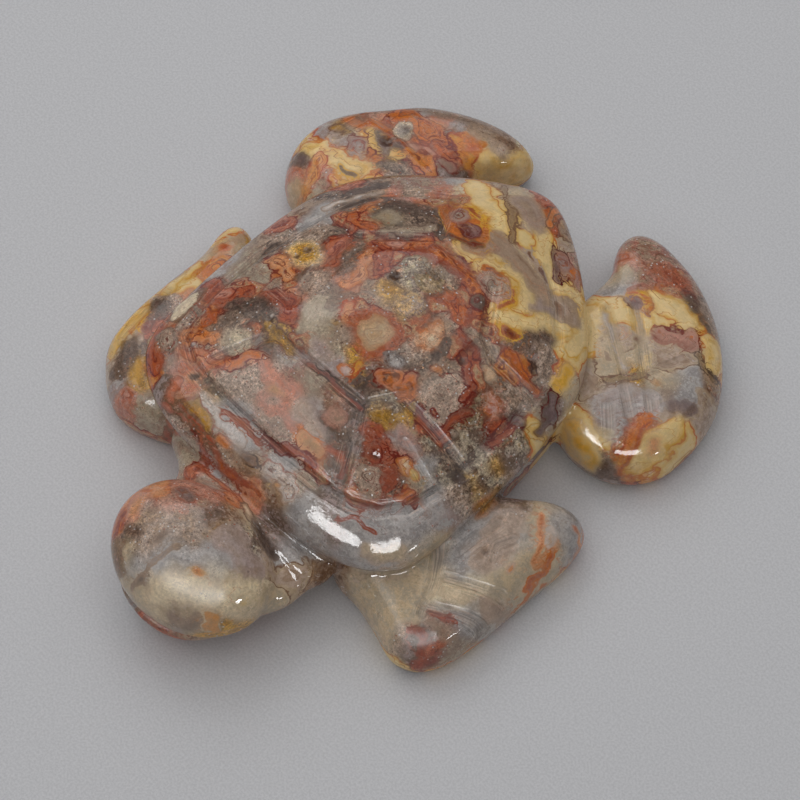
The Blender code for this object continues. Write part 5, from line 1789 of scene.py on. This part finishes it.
def outlined(s, base):
    """Crisp lines between the grounds and around the marks, with fainter ones beside them."""
    rim = s.wobbled("rim", LINE_WOBBLE)
    sides = s.mix(s.stepped(rim, "side of the line"), s.shade("under"), s.shade("over"))
    crisper = s.mix(1.0, sides, s.shade("body"), "DIVIDE")
    base = s.mix(1.0, base, crisper, "MULTIPLY")
    off_line = s.math("ABSOLUTE", rim)
    crisp = s.stepped(s.number("sharp"), "crisp")
    fading = s.stepped(s.broad, "fading")
    base = s.mix(s.product(s.stepped(off_line, "glow"), crisp), base, s.shade("edge"))
    echo = s.product(s.stepped_off(off_line, FAR_ECHO, "far echo"), s.lacy, fading)
    base = s.mix(echo, base, s.shade("outline"))
    echo = s.product(s.stepped_off(off_line, NEAR_ECHO, "near echo"), crisp)
    base = s.mix(echo, base, s.shade("pale"))
    line = s.product(s.stepped(off_line, "outline"), crisp, fading)
    return s.mix(line, base, s.shade("outline"))


def rusted(s, base):
    """Soft clouds of brown iron and of smoke, which run through everything."""
    rust = s.noise(s.spot(s.math("ADD", s.middle, RUST_SHIFT), s.broad, s.fine), "rust")
    base = s.tint(s.product(s.stepped(rust, "iron"), s.calm), base, "tan")
    sooty = s.stepped(s.number("grain"), "sooty grain")
    return s.tint(s.product(s.stepped(rust, "soot"), sooty), base, "smoke")


def lit(s, base):
    """Sugary quartz in the greys, wax in the creams, scratches, painted shade and dirt in cuts."""
    factors = []
    parts = ((s.dust, DUST_LIGHT), (s.fine, FINE_LIGHT), (s.middle, MIDDLE_LIGHT))
    for clouds, (by_grain, by_calm) in parts:
        amount = s.plus(s.grain, by_grain, s.product(s.calm, by_calm))
        factors.append(s.swing(clouds, amount))
    factors.append(s.swing(s.stepped(s.crumb, "crumb light"), s.grain))
    factors.append(s.swing(s.broad, BROAD_LIGHT))
    factors.append(s.swing(s.scratch, SCRATCH_LIGHT))
    # Painted shade and dirt in the carved lines.
    factors.append(s.swing(s.number("cut"), CUT_SHADE_AND_DIRT))
    light = s.product(*factors)
    grey = s.node("ShaderNodeCombineColor")
    for socket in grey.inputs:
        s.plug(socket, light)
    return s.mix(1.0, base, grey.outputs[0], "MULTIPLY")


def speckled(s, base):
    """Milky veils, stains, specks, painted glints, painted shade in pits, the dark mouth line."""
    stony = s.stepped(s.grain, "stony")
    veil = s.noise(s.spot(s.math("ADD", s.broad, VEIL_SHIFT), s.middle), "veil")
    veiled = s.stepped(s.banding, "veiled bands")
    stain = s.noise(s.place, "stain")
    speck = s.noise(s.spot(stain, s.dust, s.fine), "speck")
    worn = s.product(s.number("worn"), s.stepped(s.bundles, "worn bundle"), WORN_SHARE)
    dark_crumb = s.stepped(s.crumb_luck, "dark crumb")
    for share, name in (
        (s.product(s.stepped(veil, "veil"), VEIL_SHARE, veiled), "milk"),
        (worn, "milk"),
        (s.stepped(s.scratch, "pale scratch"), "milk"),
        (s.product(s.stepped(stain, "stain"), stony, STAIN_SHARE), "red_orange"),
        (s.product(s.stepped(speck, "speck"), stony, SPECK_SHARE), "umber"),
        # Painted glints: a few dots painted white, as crystals catching the light.
        (s.product(s.painted_glint, PAINTED_GLINT_SHARE), "white"),
        (s.product(dark_crumb, s.dot, DARK_CRUMB_SHARE), "umber"),
        (s.product(s.stepped(s.crumb, "red crumb"), s.dot, RED_CRUMB_SHARE), "red_orange"),
        # Painted shade inside the open pits.
        (s.product(s.number("pit_shade"), PIT_SHADE_SHARE), "umber"),
        # The dark red mouth line: partly the stone's red, partly painted shade in the slit.
        (s.stepped(s.number("mouth"), "mouth"), "dark_red"),
    ):
        base = s.tint(share, base, name)
    return base


def roughness(s):
    """Mirror-like on the dense stone, duller in the grain and the carved lines."""
    dull = s.plus(s.grain, GRAIN_DULLNESS, POLISHED)
    dull = s.plus(s.stepped(s.number("cut"), "dull cut"), CUT_DULLNESS, dull)
    dull = s.plus(s.stepped(s.number("scuff"), "dull scuff"), SCUFF_DULLNESS, dull)
    dull = s.plus(s.fine, FINE_DULLNESS, dull)
    return s.plus(s.number("satin"), SATIN_ROUGHNESS, dull)


def bumped(s):
    """The skin's direction with crumbs, scratches, soft lumps and painted glints in it."""
    relief = s.product(s.crumb_away, s.grain, CRUMB_RELIEF)
    relief = s.plus(s.scratch, SCRATCH_RELIEF, relief)
    relief = s.plus(s.middle, LUMP_RELIEF, relief)
    relief = s.plus(s.product(s.painted_glint, s.grain), PAINTED_GLINT_RELIEF, relief)
    bump = s.node("ShaderNodeBump")
    bump.inputs["Distance"].default_value = MM
    s.plug(bump.inputs["Height"], relief)
    return bump.outputs[0]


def stone_material():
    stone = bpy.data.materials.new("polished_jasper")
    stone.use_nodes = True
    surface = stone.node_tree.nodes["Principled BSDF"]
    s = StoneSketch(stone.node_tree)
    base = speckled(s, lit(s, rusted(s, outlined(s, banded(s)))))
    tuned = s.node("ShaderNodeHueSaturation")
    tuned.inputs["Saturation"].default_value = COLOUR_STRENGTH
    s.plug(tuned.inputs["Color"], base)
    s.plug(surface.inputs["Base Color"], tuned.outputs[0])
    s.plug(surface.inputs["Roughness"], roughness(s))
    s.plug(surface.inputs["Normal"], bumped(s))
    for name, value in SURFACE.items():
        surface.inputs[name].default_value = value
    return stone


def build_turtle():
    turtle = rough_turtle()
    fuse(turtle)
    carve(turtle)
    draw_pattern(turtle)
    cut_belly_and_place(turtle)
    turtle.data.materials.clear()
    turtle.data.materials.append(stone_material())
    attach(turtle, "root")
    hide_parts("turtle")


def floor_material():
    paper = bpy.data.materials.new("grey_paper")
    paper.use_nodes = True
    surface = paper.node_tree.nodes["Principled BSDF"]
    surface.inputs["Roughness"].default_value = FLOOR_ROUGHNESS
    s = Sketch(paper.node_tree)
    grain = s.clouds(s.node("ShaderNodeTexCoord").outputs["Object"], *FLOOR_NOISE)
    dark, light = [(*linear(shade), 1.0) for shade in FLOOR_SHADES]
    s.plug(surface.inputs["Base Color"], s.mix(s.ramp(grain, *FLOOR_STEP), dark, light))
    bump = s.node("ShaderNodeBump")
    bump.inputs["Distance"].default_value = FLOOR_RELIEF
    s.plug(bump.inputs["Height"], grain)
    s.plug(surface.inputs["Normal"], bump.outputs[0])
    return paper


def build_floor():
    bm = bmesh.new()
    bmesh.ops.create_grid(bm, x_segments=1, y_segments=1, size=FLOOR_HALF)
    mesh = bpy.data.meshes.new("floor")
    bm.to_mesh(mesh)
    bm.free()
    floor = bpy.data.objects.new("floor", mesh)
    bpy.context.scene.collection.objects.link(floor)
    mesh.materials.append(floor_material())


def towards(azimuth, elevation):
    """The direction of a place seen from the middle. Azimuth 0 is -y and 90 is +x."""
    up = math.radians(elevation)
    turn = math.radians(azimuth)
    flat = math.cos(up)
    return Vector((math.sin(turn) * flat, -math.cos(turn) * flat, math.sin(up)))


def build_camera():
    data = bpy.data.cameras.new("photo_camera")
    data.sensor_width = SENSOR
    data.lens = LENS
    data.clip_start = CLIP_START
    data.clip_end = CLIP_END
    camera = bpy.data.objects.new("photo_camera", data)
    back = towards(VIEW_AZIMUTH, VIEW_ELEVATION)
    camera.location = Vector(VIEW_TARGET) + back * VIEW_DISTANCE
    camera.rotation_euler = (-back).to_track_quat("-Z", "Y").to_euler()
    bpy.context.scene.collection.objects.link(camera)
    bpy.context.scene.camera = camera


def build_lights():
    for name, azimuth, elevation, distance, size, watts, lights_up, mirrored in LIGHTS:
        data = bpy.data.lights.new(name, "AREA")
        data.shape = "RECTANGLE"
        data.size, data.size_y = size
        data.energy = watts
        lamp = bpy.data.objects.new(name, data)
        out = towards(azimuth, elevation)
        lamp.location = out * distance
        lamp.visible_diffuse = lights_up
        lamp.visible_glossy = mirrored
        lamp.rotation_euler = (-out).to_track_quat("-Z", "Y").to_euler()
        bpy.context.scene.collection.objects.link(lamp)


def build_world():
    world = bpy.data.worlds.new("studio")
    world.use_nodes = True
    sky = world.node_tree.nodes["Background"]
    sky.inputs["Color"].default_value = (WORLD_GREY, WORLD_GREY, WORLD_GREY, 1.0)
    sky.inputs["Strength"].default_value = WORLD_STRENGTH
    bpy.context.scene.world = world


build_turtle()
build_floor()
build_camera()
build_lights()
build_world()
bpy.context.scene.view_settings.view_transform = "Standard"
